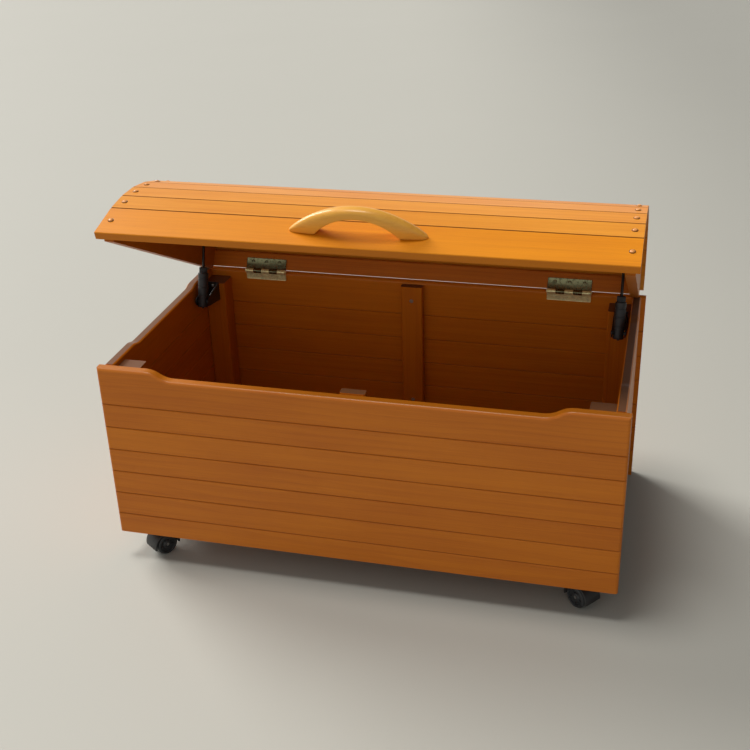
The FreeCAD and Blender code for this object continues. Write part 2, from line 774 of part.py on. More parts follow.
def fork_inner():
    return HEAD_RADIUS + FORK_CLEARANCE


def fork_outer():
    return fork_inner() + FORK_SHEET


def post_face():
    return BACK_INNER - POST


def tangent_point(corner, centre, radius, side):
    """Where a line from a corner touches a circle; side picks the upper or lower touch."""
    away_y = corner[0] - centre[0]
    away_z = corner[1] - centre[1]
    angle = math.atan2(away_z, away_y) + side * math.acos(radius / math.hypot(away_y, away_z))
    return (centre[0] + radius * math.cos(angle), centre[1] + radius * math.sin(angle))


def stay_bracket():
    """Bent sheet fork, screwed to the rear post, that holds the head's trunnions."""
    face = post_face()
    pivot = (STAY_LOW.y, STAY_LOW.z)
    upper = (face, pivot[1] + FORK_HEIGHT / 2)
    lower = (face, pivot[1] - FORK_HEIGHT / 2)
    nose_top = tangent_point(upper, pivot, FORK_NOSE_RADIUS, 1)
    nose_low = tangent_point(lower, pivot, FORK_NOSE_RADIUS, -1)
    start = STAY_CENTRE - fork_outer()
    outline = Outline(lambda y, z: vec(start, y, z), *lower)
    outline.line(*upper)
    outline.line(*nose_top)
    outline.arc((pivot[0] - FORK_NOSE_RADIUS, pivot[1]), nose_low)
    fork = outline.face().extrude(vec(2 * fork_outer(), 0, 0))
    room = block((STAY_CENTRE - fork_inner(), STAY_CENTRE + fork_inner()),
                 (pivot[0] - FORK_NOSE_RADIUS - OVERRUN, face - FORK_SHEET),
                 (lower[1] - OVERRUN, upper[1] + OVERRUN))
    reach = X_AXIS * (fork_outer() + OVERRUN)
    bore = rod_between(STAY_LOW - reach, STAY_LOW + reach, TRUNNION_RADIUS + RUNNING_FIT)
    return fork.cut(room).cut(bore).cut(bracket_screws(SCREW_FIT))


def bracket_screws(spare=0):
    screw = pan_screw(PAN_SCREW_LENGTH, spare)
    half = FORK_SCREW_SPACING / 2
    heads = [vec(STAY_CENTRE, post_face() - FORK_SHEET, STAY_LOW.z + up) for up in (-half, half)]
    return Part.Compound([placed(screw, head, Y_AXIS) for head in heads])


def stay_stud():
    """Shoulder screw in the lid's end board, which carries the rod's eye."""
    def at(x):
        return vec(x, STAY_HIGH.y, STAY_HIGH.z)

    eye_face = STAY_CENTRE + ROD_EYE_WIDTH / 2 + SEAT
    far_face = STAY_CENTRE - ROD_EYE_WIDTH / 2 - SEAT
    return fused([
        rod_between(at(END_BOARD_INNER + STUD_BITE), at(far_face), ROD_RADIUS),
        prism_between(at(eye_face), at(END_BOARD_INNER), STUD_SHOULDER_RADIUS, NUT_SIDE_COUNT),
        prism_between(at(far_face - STUD_CAP), at(far_face), STUD_CAP_RADIUS, FASTENER_SIDE_COUNT),
    ])


def caster_centre():
    return vec(CASTER_CENTRE, FRONT_FACE + CASTER_BACK_SET, 0)


def caster_socket():
    """Plate under the post and the cleat, with the boss that holds the stem."""
    half = CASTER_PLATE / 2
    top = FLOOR_GAP
    plate = block((-half, half), (-half, half), (top - CASTER_PLATE_THICKNESS, top))
    middle = top - CASTER_PLATE_THICKNESS / 2
    plate = bevelled(plate, CASTER_PLATE_CORNER, lambda edge: math.isclose(edge.CenterOfMass.z, middle))
    boss_foot = top - CASTER_PLATE_THICKNESS - CASTER_BOSS
    boss = prism_between(vec(0, 0, boss_foot), vec(0, 0, top), CASTER_BOSS_RADIUS,
                         SMALL_ROUND_SIDE_COUNT)
    bore = rod_between(vec(0, 0, boss_foot - OVERRUN), vec(0, 0, stem_top() + SEAT),
                       CASTER_STEM_RADIUS + RUNNING_FIT)
    socket = fused([plate, boss]).cut(bore)
    socket.translate(caster_centre())
    return socket


def stem_top():
    return FLOOR_GAP - CASTER_PLATE_THICKNESS / 2 - SEAT


def hood_radius():
    """The hood reaches up to just under the socket's boss."""
    return FLOOR_GAP - CASTER_PLATE_THICKNESS - CASTER_BOSS - SEAT - WHEEL_RADIUS


def wheel_start():
    return WEB_THICKNESS / 2 + SEAT


def caster_width():
    return 2 * (wheel_start() + WHEEL_WIDTH)


def across(start, end, radius):
    """Cylinder along the caster's axle, drawn with the swivel axis at the origin."""
    return rod_between(vec(start, -CASTER_TRAIL, WHEEL_RADIUS),
                       vec(end, -CASTER_TRAIL, WHEEL_RADIUS), radius)


def round_across(start, end, radius):
    """The same with flat sides, for the wide rounds of hood and wheels."""
    return prism_between(vec(start, -CASTER_TRAIL, WHEEL_RADIUS),
                         vec(end, -CASTER_TRAIL, WHEEL_RADIUS), radius, ROUND_SIDE_COUNT)


def caster_housing():
    """Hood over two wheels, with a web between them and a stem, wheels trailing to -Y."""
    half = caster_width() / 2
    outer = hood_radius()
    skirt = WHEEL_RADIUS - HOOD_SKIRT_DROP
    hood = round_across(-half, half, outer)
    hood = hood.cut(block((-half - OVERRUN, half + OVERRUN),
                          (-CASTER_TRAIL - outer - OVERRUN, OVERRUN + outer),
                          (WHEEL_RADIUS - outer - OVERRUN, skirt)))
    crown = WHEEL_RADIUS + outer
    neck = prism_between(vec(0, 0, WHEEL_RADIUS), vec(0, 0, crown), CASTER_NECK_RADIUS,
                         SMALL_ROUND_SIDE_COUNT)
    stem = rod_between(vec(0, 0, WHEEL_RADIUS), vec(0, 0, stem_top()), CASTER_STEM_RADIUS)
    housing = fused([hood, neck])
    for side in (-1, 1):
        room = round_across(side * WEB_THICKNESS / 2, side * (half + OVERRUN), outer - HOOD_THICKNESS)
        housing = housing.cut(room)
    reach = WHEEL_RADIUS - HOOD_SKIRT_DROP
    web = block((-WEB_THICKNESS / 2, WEB_THICKNESS / 2), (-CASTER_TRAIL - reach, reach - CASTER_TRAIL),
                (AXLE_RADIUS + HOOD_SKIRT_DROP, WHEEL_RADIUS + reach))
    stem = stem.common(block((-half, half), (-half, half), (crown - HOOD_THICKNESS, FLOOR_GAP)))
    housing = fused([housing, web, stem])
    return housing.cut(across(-half, half, AXLE_RADIUS + RUNNING_FIT))


def caster_axle():
    half = caster_width() / 2 - AXLE_RECESS
    return across(-half, half, AXLE_RADIUS)


def caster_wheels():
    """Two wheels on one axle, as a group of two solids."""
    near = wheel_start()
    far = near + WHEEL_WIDTH
    wheel = many_sided([(WHEEL_RADIUS, near), (WHEEL_RADIUS, far - WHEEL_BEVEL),
                        (WHEEL_RADIUS - WHEEL_BEVEL, far)], ROUND_SIDE_COUNT)
    wheel = placed(wheel, vec(0, -CASTER_TRAIL, WHEEL_RADIUS), X_AXIS)
    wheel = wheel.cut(across(near - OVERRUN, far + OVERRUN, AXLE_RADIUS + RUNNING_FIT))
    return Part.Compound([mirrored(wheel), wheel])


def caster_set(side):
    """The turning pieces of one caster, swivelled as they stand at rest."""
    centre = caster_centre()
    swivel = RIGHT_CASTER_ANGLE
    if side == "left":
        centre.x = -centre.x
        swivel = LEFT_CASTER_ANGLE
    pieces = {"housing": caster_housing(), "axle": caster_axle(), "wheels": caster_wheels()}
    for piece in pieces.values():
        piece.rotate(vec(0, 0, 0), -Z_AXIS, swivel)
        piece.translate(centre)
    return pieces


def chest_parts():
    holes = frame_screws(SCREW_FIT)
    leaf_holes = leaf_screws(BOX_LEAF_SCREWS, Y_AXIS, SCREW_FIT)
    bracket_holes = bracket_screws(SCREW_FIT)
    parts = {
        "front_panel": front_panel().cut(holes),
        "back_panel": back_panel().cut(holes).cut(leaf_holes).cut(mirrored(leaf_holes)),
        "bottom_panel": bottom_panel(),
        "front_batten": batten(False).cut(holes),
        "back_batten": batten(True).cut(holes),
        "front_cleat": long_cleat(False),
        "back_cleat": long_cleat(True),
        "frame_screws": frame_screws(),
        "hinge_pins": Part.Compound([mirrored(hinge_pin()), hinge_pin()]),
    }
    leaf = hinge_leaf(0, BOX_LEAF_Y, BOX_LEAF_Z, BOX_LEAF_SCREWS, Y_AXIS)
    pieces = {
        "{}_side_panel": side_panel(),
        "front_{}_post": post(False),
        "rear_{}_post": post(True).cut(bracket_holes),
        "{}_cleat": side_cleat(),
        "{}_hinge_box_leaf": leaf,
        "{}_stay_bracket": stay_bracket(),
        "{}_caster_socket": caster_socket(),
    }
    for name, shape in pieces.items():
        for side in ("left", "right"):
            parts[name.format(side)] = on_side(shape, side)
    parts["box_hinge_screws"] = both_sides(leaf_screws(BOX_LEAF_SCREWS, Y_AXIS))
    parts["stay_bracket_screws"] = both_sides(bracket_screws())
    return parts


def both_sides(shape):
    return Part.Compound([*mirrored(shape).Solids, *shape.Solids])


def lid_parts():
    rail_holes = leaf_screws(LID_LEAF_SCREWS, Y_AXIS, SCREW_FIT)
    last = len(slat_directions()) - 1
    closed = {"lid_front_slat": slat(0).cut(handle_screws_closed(SCREW_FIT))}
    for index in range(1, last):
        closed["lid_slat_{:02d}".format(index + 1)] = slat(index)
    closed["lid_back_slat"] = slat(last)
    closed["lid_hinge_rail"] = hinge_rail().cut(rail_holes).cut(mirrored(rail_holes))
    closed["lid_handle"] = handle()
    closed["handle_screws"] = handle_screws_closed()
    closed["slat_plugs"] = slat_plugs()
    closed["lid_hinge_screws"] = both_sides(leaf_screws(LID_LEAF_SCREWS, Y_AXIS))
    leaf = hinge_leaf(1, LID_LEAF_Y, LID_LEAF_Z, LID_LEAF_SCREWS, Y_AXIS)
    board = end_board()
    for side in ("left", "right"):
        closed["lid_{}_end_board".format(side)] = on_side(board, side)
        closed["{}_hinge_lid_leaf".format(side)] = on_side(leaf, side)
    parts = {name: opened(shape) for name, shape in closed.items()}
    for side in ("left", "right"):
        parts["{}_stay_stud".format(side)] = on_side(stay_stud(), side)
    return parts


def moving_parts():
    parts = {}
    for side in ("left", "right"):
        parts["{}_stay_head".format(side)] = on_side(stay_head(), side)
        parts["{}_stay_rod".format(side)] = on_side(stay_rod(), side)
        for name, shape in caster_set(side).items():
            parts["{}_caster_{}".format(side, name)] = shape
    return parts


def main():
    os.makedirs("parts", exist_ok=True)
    parts = {**chest_parts(), **lid_parts(), **moving_parts()}
    for name, shape in parts.items():
        shape.exportStep(os.path.join("parts", name + ".step"))
    print(len(parts), "nodes; stay pivots", STAY_LOW, STAY_HIGH)


main()
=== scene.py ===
import math

import bmesh
import bpy
from bpy.props import FloatProperty, FloatVectorProperty, IntProperty, PointerProperty
from mathutils import Matrix, Vector


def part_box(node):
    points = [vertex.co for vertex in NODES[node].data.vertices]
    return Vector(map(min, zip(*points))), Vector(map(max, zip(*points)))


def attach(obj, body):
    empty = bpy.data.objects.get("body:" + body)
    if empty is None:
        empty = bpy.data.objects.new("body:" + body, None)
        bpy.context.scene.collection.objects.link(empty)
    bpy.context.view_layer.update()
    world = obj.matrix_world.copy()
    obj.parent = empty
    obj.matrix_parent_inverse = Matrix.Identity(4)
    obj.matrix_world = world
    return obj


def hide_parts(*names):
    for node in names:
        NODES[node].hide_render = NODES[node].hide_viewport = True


bl_info = {
    "name": "Toy box with a domed lid",
    "version": (1, 0, 0),
    "blender": (4, 5, 0),
    "location": "View3D > Sidebar > Toy Box",
    "description": "Dresses the slatted toy box: varnished wood, brass hinges, stays and casters",
    "category": "Object",
}

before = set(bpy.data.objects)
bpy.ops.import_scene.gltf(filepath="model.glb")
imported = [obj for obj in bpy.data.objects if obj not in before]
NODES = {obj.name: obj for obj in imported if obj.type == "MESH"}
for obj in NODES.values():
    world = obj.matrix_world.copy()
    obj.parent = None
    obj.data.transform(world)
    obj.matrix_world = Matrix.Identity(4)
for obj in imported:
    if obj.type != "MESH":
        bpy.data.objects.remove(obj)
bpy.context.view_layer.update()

MM = 0.001
FULL_TURN = 2 * math.pi
SIDES = ("left", "right")

# Edges of the panels and inner faces of the strips, in metres, as the solids have them
PANEL_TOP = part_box("front_panel")[1].z
FRONT_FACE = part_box("front_panel")[0].y
FLOOR_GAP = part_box("front_panel")[0].z
BACK_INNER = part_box("back_panel")[0].y
FRONT_BATTEN_FACE = FRONT_FACE + 32 * MM
BACK_BATTEN_FACE = BACK_INNER - 15 * MM
REAR_POST_FACE = BACK_INNER - 39 * MM

# Grooves between the boards, in mm: top edge to first groove, then groove to groove
FRONT_GROOVES = (65.0, 41.9)
BACK_GROOVES = (67.0, 49.0)
# Heights of the top edge and of the inside bottom, between which the battens run, in mm
TOP_EDGE = 366.0
BATTEN_FOOT = 82.0

# The lid's hinges and the angle that the lid stands at
HINGE_X = 285 * MM
HINGE_SCREW_STEP = 26 * MM
HINGE_Y = BACK_INNER - 4.5 * MM
HINGE_Z = PANEL_TOP + 1.85 * MM
PIN = Vector((0, HINGE_Y, HINGE_Z))
REST_ANGLE = math.radians(27.1)
ALONG_X = Matrix.Rotation(math.pi / 2, 4, "Y")

# Slats of the closed lid from front to back: slopes in degrees, widths in mm
SLATS = 13
SLAT_SLOPES = [42.6] + [36.0 - 7.65 * k for k in range(11)]
SLAT_WIDTHS = [68.0] + [42.4] * 10
# Corners of the dome, in mm ahead of the hinge pin and above it
LID_FRONT_CORNER = (442.0, 9.0)
LID_BACK = -28.5
LID_BACK_BOTTOM = 14.0
# Slat screws, in mm from the middle, and the inner faces of the end boards
PLUG_X = 399.5
END_BOARD_INNER = 392 * MM

# The handle on the front slat
HANDLE_UP_SLAT = 37 * MM
HANDLE_TOE = 3 * MM
HANDLE_TIP = 0.97
HANDLE_SCREW_X = 86.0
HANDLE_SCREW_DEPTH = 12.5 * MM

# The stays: the pins that head and rod turn on
STAY_X = 379.5 * MM
STAY_LOW = Vector((STAY_X, -0.0995, 0.33565))
STAY_HIGH = Vector((STAY_X, -0.0688038, 0.4419925))
STAY_DIRECTION = (STAY_HIGH - STAY_LOW).normalized()

# The casters: centre of the stem, the angle that each stands at, the axle's distance behind
# the stem, the hood's radius and the gap from the middle to a wheel
CASTER_CENTRES = {"left": Vector((-0.350, -0.403, 0)), "right": Vector((0.350, -0.403, 0))}
CASTER_SWIVELS = {"left": math.radians(-36.0), "right": math.radians(52.0)}
CASTER_TRAIL = 16 * MM
HOOD_RADIUS = 24.1 * MM
WHEEL_INNER = 2.8 * MM

# The camera: its place in metres, its angles in degrees, lens and sensor in mm
CAMERA_PLACE = (0.4417, -1.9188, 1.1733)
CAMERA_YAW, CAMERA_PITCH, CAMERA_ROLL = 15.215, 26.975, 1.929
CAMERA_LENS = 55.146
CAMERA_SENSOR = 36.0
# The lamps: name, energy, width in degrees and the direction that each shines in
LAMPS = (("overhead lamp", 1.60, 20, (0.22, 0.02, -0.975)),
         ("left lamp", 3.10, 30, (0.74, -0.40, -0.54)))
# Half the width of the studio floor, in metres
FLOOR_REACH = 30.0


# Shaders


class Value:
    """A shader socket that arithmetic can be written with."""

    def __init__(self, shader, socket):
        self.shader = shader
        self.socket = socket

    def maths(self, operation, *values):
        return self.shader.node("ShaderNodeMath", {"operation": operation},
                                dict(enumerate(values)))

    def __add__(self, other):
        return self.maths("ADD", self, other)

    def __radd__(self, other):
        return self.maths("ADD", other, self)

    def __sub__(self, other):
        return self.maths("SUBTRACT", self, other)

    def __rsub__(self, other):
        return self.maths("SUBTRACT", other, self)

    def __mul__(self, other):
        return self.maths("MULTIPLY", self, other)

    def __rmul__(self, other):
        return self.maths("MULTIPLY", other, self)

    def __truediv__(self, other):
        return self.maths("DIVIDE", self, other)

    def __rtruediv__(self, other):
        return self.maths("DIVIDE", other, self)

    def __pow__(self, other):
        return self.maths("POWER", self, other)

    def __abs__(self):
        return self.maths("ABSOLUTE", self)

    def floor(self):
        return self.maths("FLOOR", self)

    def fraction(self):
        return self.maths("FRACT", self)

    def root(self):
        return self.maths("SQRT", self)

    def above(self, limit):
        return self.maths("GREATER_THAN", self, limit)

    def most(self, other):
        return self.maths("MAXIMUM", self, other)

    def ramp(self, low, high):
        """0 below low, 1 above high and smooth between them."""
        return self.shader.node("ShaderNodeMapRange", {"interpolation_type": "SMOOTHSTEP"},
                                {"Value": self, "From Min": low, "From Max": high})


class Shader:
    """A material, or the world, under construction."""

    def __init__(self, name, kind=bpy.data.materials):
        self.owner = kind.new(name)
        self.owner.use_nodes = True
        self.tree = self.owner.node_tree
        self.tree.nodes.clear()

    def node(self, kind, settings=None, sockets=None, output=0):
        """Add a node: its settings first, then the values or links of its sockets."""
        node = self.tree.nodes.new(kind)
        for name, value in (settings or {}).items():
            setattr(node, name, value)
        for name, value in (sockets or {}).items():
            if isinstance(value, Value):
                self.tree.links.new(value.socket, node.inputs[name])
            else:
                node.inputs[name].default_value = value
        return Value(self, node.outputs[output] if node.outputs else None)

    def point(self):
        return self.node("ShaderNodeTexCoord", output="Object")

    def split(self, vector):
        """The three parts of a vector."""
        outputs = self.node("ShaderNodeSeparateXYZ", None, {0: vector}).socket.node.outputs
        return [Value(self, outputs[k]) for k in range(3)]

    def axes(self):
        """The three coordinates of the shaded point, in metres."""
        return self.split(self.point())

    def vector(self, x, y, z):
        return self.node("ShaderNodeCombineXYZ", None, {0: x, 1: y, 2: z})

    def noise(self, vector, scale, detail=2.0, roughness=0.5):
        return self.node("ShaderNodeTexNoise", None,
                         {"Vector": vector, "Scale": scale, "Detail": detail,
                          "Roughness": roughness})

    def chance(self, value):
        """A steady random number from 0 to 1 for each whole value."""
        return self.node("ShaderNodeTexWhiteNoise", {"noise_dimensions": "1D"}, {"W": value})

    def mix(self, factor, first, second):
        return self.node("ShaderNodeMix", {"data_type": "RGBA"},
                         {0: factor, 6: first, 7: second}, output=2)

    def bump(self, height, strength, distance):
        return self.node("ShaderNodeBump", None,
                         {"Strength": strength, "Distance": distance, "Height": height})

    def finish(self, **sockets):
        """Close the material with a surface shader; names use _ for spaces."""
        inputs = {name.replace("_", " "): value for name, value in sockets.items()}
        surface = self.node("ShaderNodeBsdfPrincipled", None, inputs)
        self.node("ShaderNodeOutputMaterial", None, {"Surface": surface})
        return self.owner


def shade(colour, factor):
    """The same colour, lighter or darker."""
    return (*[min(channel * factor, 1.0) for channel in colour[:3]], 1.0)


# Axes across the grain and through the wood, for grain along X, Y and Z
ACROSS_GRAIN = ((2, 1), (2, 0), (0, 1))
RING_WIDTH = 5.8 * MM
SHIFT_SEED = 50


def groove_stain(height, top, first, board):
    """Number of the board at a height, and the stain in the grooves between boards."""
    count = (top - first - height) / board
    above = ((count + 0.5).floor() - count) * board
    stain = (1 - above.ramp(1.2 * MM, 1.9 * MM)) * above.ramp(-0.9 * MM, -0.2 * MM)
    stain = stain * (top - first + 4 * MM - height).above(0.0)
    return count.floor().most(-1.0), stain * 0.30


def seam_stain(axes, middle, slope, half, both):
    """Stain along a slat's upper edge, or both edges, and painted shade along its lower rim."""
    along_slope = (axes[1] - middle.y) * slope.y + (axes[2] - middle.z) * slope.z
    edge = abs(along_slope) if both else along_slope
    stain = edge.ramp(half - 1.9 * MM, half - 0.7 * MM) * 0.92
    # Painted shade along the lower rim of a slat stained on one side only.
    rim = 0.0 if both else (0 - along_slope).ramp(half - 0.6 * MM, half) * 0.6
    return stain, rim


def wood(name, light, dark, grain, seed, boards=None, seams=None, depth=1.0, gloss=1.0,
         shaded_tops=None):
    """Varnished wood with its grain along one axis (0 to 2).

    boards is (top, first groove, board width): the tone changes from board to board, with
    stain in the grooves between them. seams is (middle, slope, half width, both): stain
    along the upper edge of a slat, or along both its edges, and painted shade along the
    lower rim of a slat stained on one side only. The last argument is the colour painted on
    the faces that look upwards: painted shade, standing for the lid's shadow on them.
    """
    shader = Shader(name)
    axes = shader.axes()
    along = axes[grain]
    across, thick = [axes[k] for k in ACROSS_GRAIN[grain]]

    def grained(lengthways, crossways, detail, roughness=0.5, start=0.0, slip=0.0):
        """Noise drawn out along the grain."""
        place = shader.vector(along * lengthways + start, across * crossways + slip,
                              thick * crossways)
        return shader.noise(place, 1.0, detail, roughness)

    row = stain = rim = 0.0
    if boards:
        row, stain = groove_stain(axes[2], *boards)
    if seams:
        stain, rim = seam_stain(axes, *seams)
    tone = shader.chance(row + float(seed))
    shift = shader.chance(row + float(seed + SHIFT_SEED))

    # Growth rings about a wandering heart beside the board
    wander = grained(1.6, 4, 2.0, start=tone * 9)
    heart_across = across - (shift - 0.5) * 0.05
    heart_thick = thick - (tone * 0.06 + 0.03)
    radius = (heart_across * heart_across + heart_thick * heart_thick).root()
    ring = ((radius + wander * 0.028 + tone) / RING_WIDTH).fraction()
    late = ring ** 2.6 * 0.85

    fibres = grained(9, 520, 3.0, 0.62, slip=shift * 30)
    streaks = grained(2.2, 130, 3.0, 0.55, start=shift * 11)
    cloud = grained(4, 10, 3.0, start=shift * 7)
    pores = grained(60, 1500, 1.0)
    figure = (late * (0.05 + 0.12 * tone) + (streaks - 0.5) * 0.50 + (fibres - 0.5) * 0.42
              + (cloud - 0.5) * 0.55 + (tone - 0.5) * 0.14)

    base = shader.mix((figure * depth + 0.36).ramp(-0.15, 1.05), light, dark)
    base = shader.mix(pores.ramp(0.60, 0.78) * 0.16, base, shade(dark, 0.50))
    facing = shader.split(shader.node("ShaderNodeNewGeometry", output="Normal"))
    if grain == 0:
        end_grain = abs(facing[0]).ramp(0.86, 0.97) * (ring ** 2.0 * 0.5 + 0.4)
        base = shader.mix(end_grain, base, shade(dark, 0.50))
    # Painted shade: faces that look upwards are turned towards a duller colour.
    if shaded_tops:
        base = shader.mix(facing[2].ramp(0.70, 0.95) * 0.9, base, shaded_tops)
    base = shader.mix(stain, base, shade(dark, 0.30))
    # Painted shade along the lower rim of the end slats.
    base = shader.mix(rim, base, shade(dark, 0.75))
    relief = late * 0.3 + fibres * 0.5 + pores * 0.25 + cloud * 0.4
    return shader.finish(
        Base_Color=base,
        Roughness=0.36 + fibres * 0.10 + cloud * 0.10 + stain * 0.2,
        Specular_IOR_Level=0.20,
        Coat_Weight=0.06 * gloss,
        Coat_Roughness=0.20,
        Normal=shader.bump(relief, 0.22, 0.4 * MM),
    )


def brass(name, colour, metallic, rough, worn):
    """Plated brass, dulled in clouds and lightly brushed."""
    shader = Shader(name)
    x, y, z = shader.axes()
    cloud = shader.noise(shader.point(), 170.0, 4.0, 0.6)
    brushed = shader.noise(shader.vector(x * 60, y * 2200, z * 2200), 1.0, 2.0)
    dull = cloud.ramp(0.42, 0.72)
    return shader.finish(
        Base_Color=shader.mix(dull * 0.55, colour, shade(colour, 0.45)),
        Metallic=metallic,
        Roughness=rough + dull * 0.22 + brushed * 0.08,
        Normal=shader.bump(brushed * 0.4 + cloud * 0.6, worn, 0.3 * MM),
    )


def plated_steel(name, colour):
    """Plated steel with its faint crystals."""
    shader = Shader(name)
    cells = shader.node("ShaderNodeTexVoronoi", None, {"Vector": shader.point(), "Scale": 420.0},
                        output="Distance")
    cloud = shader.noise(shader.point(), 240.0, 3.0)
    return shader.finish(
        Base_Color=shader.mix(cells.ramp(0.1, 0.8) * 0.5 + cloud * 0.2, colour,
                              shade(colour, 0.6)),
        Metallic=0.92,
        Roughness=0.26 + cloud * 0.18,
        Normal=shader.bump(cloud, 0.12, 0.2 * MM),
    )


def black_paint(colour):
    """Baked black paint, worn to grey on its high spots."""
    shader = Shader("black paint")
    orange_peel = shader.noise(shader.point(), 900.0, 2.0)
    wear = shader.noise(shader.point(), 130.0, 5.0, 0.7).ramp(0.62, 0.74)
    return shader.finish(
        Base_Color=shader.mix(wear * 0.5, colour, shade(colour, 3.2)),
        Metallic=0.25,
        Roughness=0.34 + orange_peel * 0.16,
        Normal=shader.bump(orange_peel, 0.16, 0.2 * MM),
    )


def moulded_plastic(name, colour, rough):
    """Moulded plastic with a fine spark-eroded grain."""
    shader = Shader(name)
    grain = shader.noise(shader.point(), 2600.0, 2.0)
    dust_and_top_shade = shader.noise(shader.point(), 70.0, 3.0).ramp(0.50, 0.80)
    return shader.finish(
        Base_Color=shader.mix(dust_and_top_shade * 0.35, colour, shade(colour, 2.4)),
        Roughness=rough + grain * 0.12 + dust_and_top_shade * 0.10,
        Normal=shader.bump(grain, 0.20, 0.1 * MM),
    )


def floor_material(colour):
    """Pale studio floor with painted shade that darkens it away from the lamps."""
    shader = Shader("studio floor")
    cloud = shader.noise(shader.point(), 0.9, 3.0, 0.5)
    x, y, _ = shader.axes()
    # Painted shade: the floor is darker towards +X and +Y.
    far = (x * 0.8 + y * 0.2).ramp(0.0, 1.35)
    return shader.finish(
        Base_Color=shader.mix(far * 0.9 + cloud * 0.1, colour, shade(colour, 0.65)),
        Roughness=0.62 + cloud * 0.1,
    )


def slat_wood(colours, number):
    """Wood of one slat, stained where it meets its neighbours."""
    # Slat colours carry painted light: lighter and yellower than the chest's wood, and paler on
    # the upper slats as painted reflection.
    light = colours.front_slat if number == 1 else colours.slat_light
    return wood("slat {:02d}".format(number), light, colours.slat_dark, 0, 60 + 3 * number,
                seams=slat_seams(number))


def makers(colours):
    """What makes each material, by the name that pieces ask for it with."""
    honey, umber, dust_and_top_shade, plug_dark = colours.honey, colours.umber, colours.dust_and_top_shade, colours.plug_dark
    front = (PANEL_TOP, *[length * MM for length in FRONT_GROOVES])
    back = (PANEL_TOP, *[length * MM for length in BACK_GROOVES])
    strip = shade(honey, 0.9)
    return {
        # The front, side and upright woods take painted shade on their upward faces.
        "front": lambda: wood("front boards", honey, umber, 0, 3, front, gloss=3.5,
                              shaded_tops=shade(honey, 0.65)),
        "back": lambda: wood("back boards", honey, umber, 0, 21, back),
        "side": lambda: wood("side boards", honey, umber, 1, 36, front, shaded_tops=dust_and_top_shade),
        "upright": lambda: wood("upright strips", honey, umber, 2, 5, shaded_tops=dust_and_top_shade),
        "long strip": lambda: wood("long strips", strip, umber, 0, 14),
        "cross strip": lambda: wood("cross strips", strip, umber, 1, 15),
        "bottom": lambda: wood("bottom board", shade(honey, 0.85), umber, 0, 16),
        "rail": lambda: wood("hinge rail", honey, umber, 0, 17),
        # Painted shade: the arched ends are a quarter darker than the other wood.
        "end board": lambda: wood("arched ends", shade(honey, 0.75), shade(umber, 0.80), 1, 18),
        # Painted highlight: the handle's wood is lighter and yellower than the chest's, as for its
        # lit top.
        "handle": lambda: wood("handle wood", colours.handle_light, colours.handle_dark, 0, 8,
                               depth=0.8, gloss=6.0),
        "plug": lambda: wood("button wood", colours.plug_light, plug_dark, 1, 9, gloss=10.0),
        # Painted shadow: a near-black rim round each button stands for the shadow of the gap
        # around it.
        "rim": lambda: wood("rim in painted shadow", shade(plug_dark, 0.30), shade(plug_dark, 0.15), 1, 10),
        "brass": lambda: brass("brass plate", colours.brass, 0.60, 0.30, 0.60),
        # Painted shade: the lid's leaf and its screws get brass darkened to a fifth, as that leaf
        # lies in shadow.
        "dark brass": lambda: brass("brass painted in shade", shade(colours.brass, 0.20), 0.95, 0.18,
                                    0.15),
        "steel": lambda: plated_steel("zinc plate", colours.steel),
        "dark steel": lambda: plated_steel("blackened steel", colours.dark_steel),
        "paint": lambda: black_paint(colours.black),
        "plastic": lambda: moulded_plastic("black plastic", colours.black, 0.42),
        "tread": lambda: moulded_plastic("wheel plastic", colours.wheel, 0.36),
        "floor": lambda: floor_material(colours.floor),
    }


MATERIALS = {}


def material(name):
    """Materials are made once, when a piece first asks for one."""
    if name not in MATERIALS:
        colours = bpy.context.scene.toy_box_colours
        if name.startswith("slat"):
            MATERIALS[name] = slat_wood(colours, int(name.split()[1]))
        else:
            MATERIALS[name] = makers(colours)[name]()
    return MATERIALS[name]


def dress(node, name):
    """Give a solid of the part its material."""
    slots = NODES[node].data.materials
    slots.clear()
    slots.append(material(name))


# Mesh making


def mm(*points):
    """Points given in millimetres, in metres."""
    return [(x * MM, y * MM) for x, y in points]


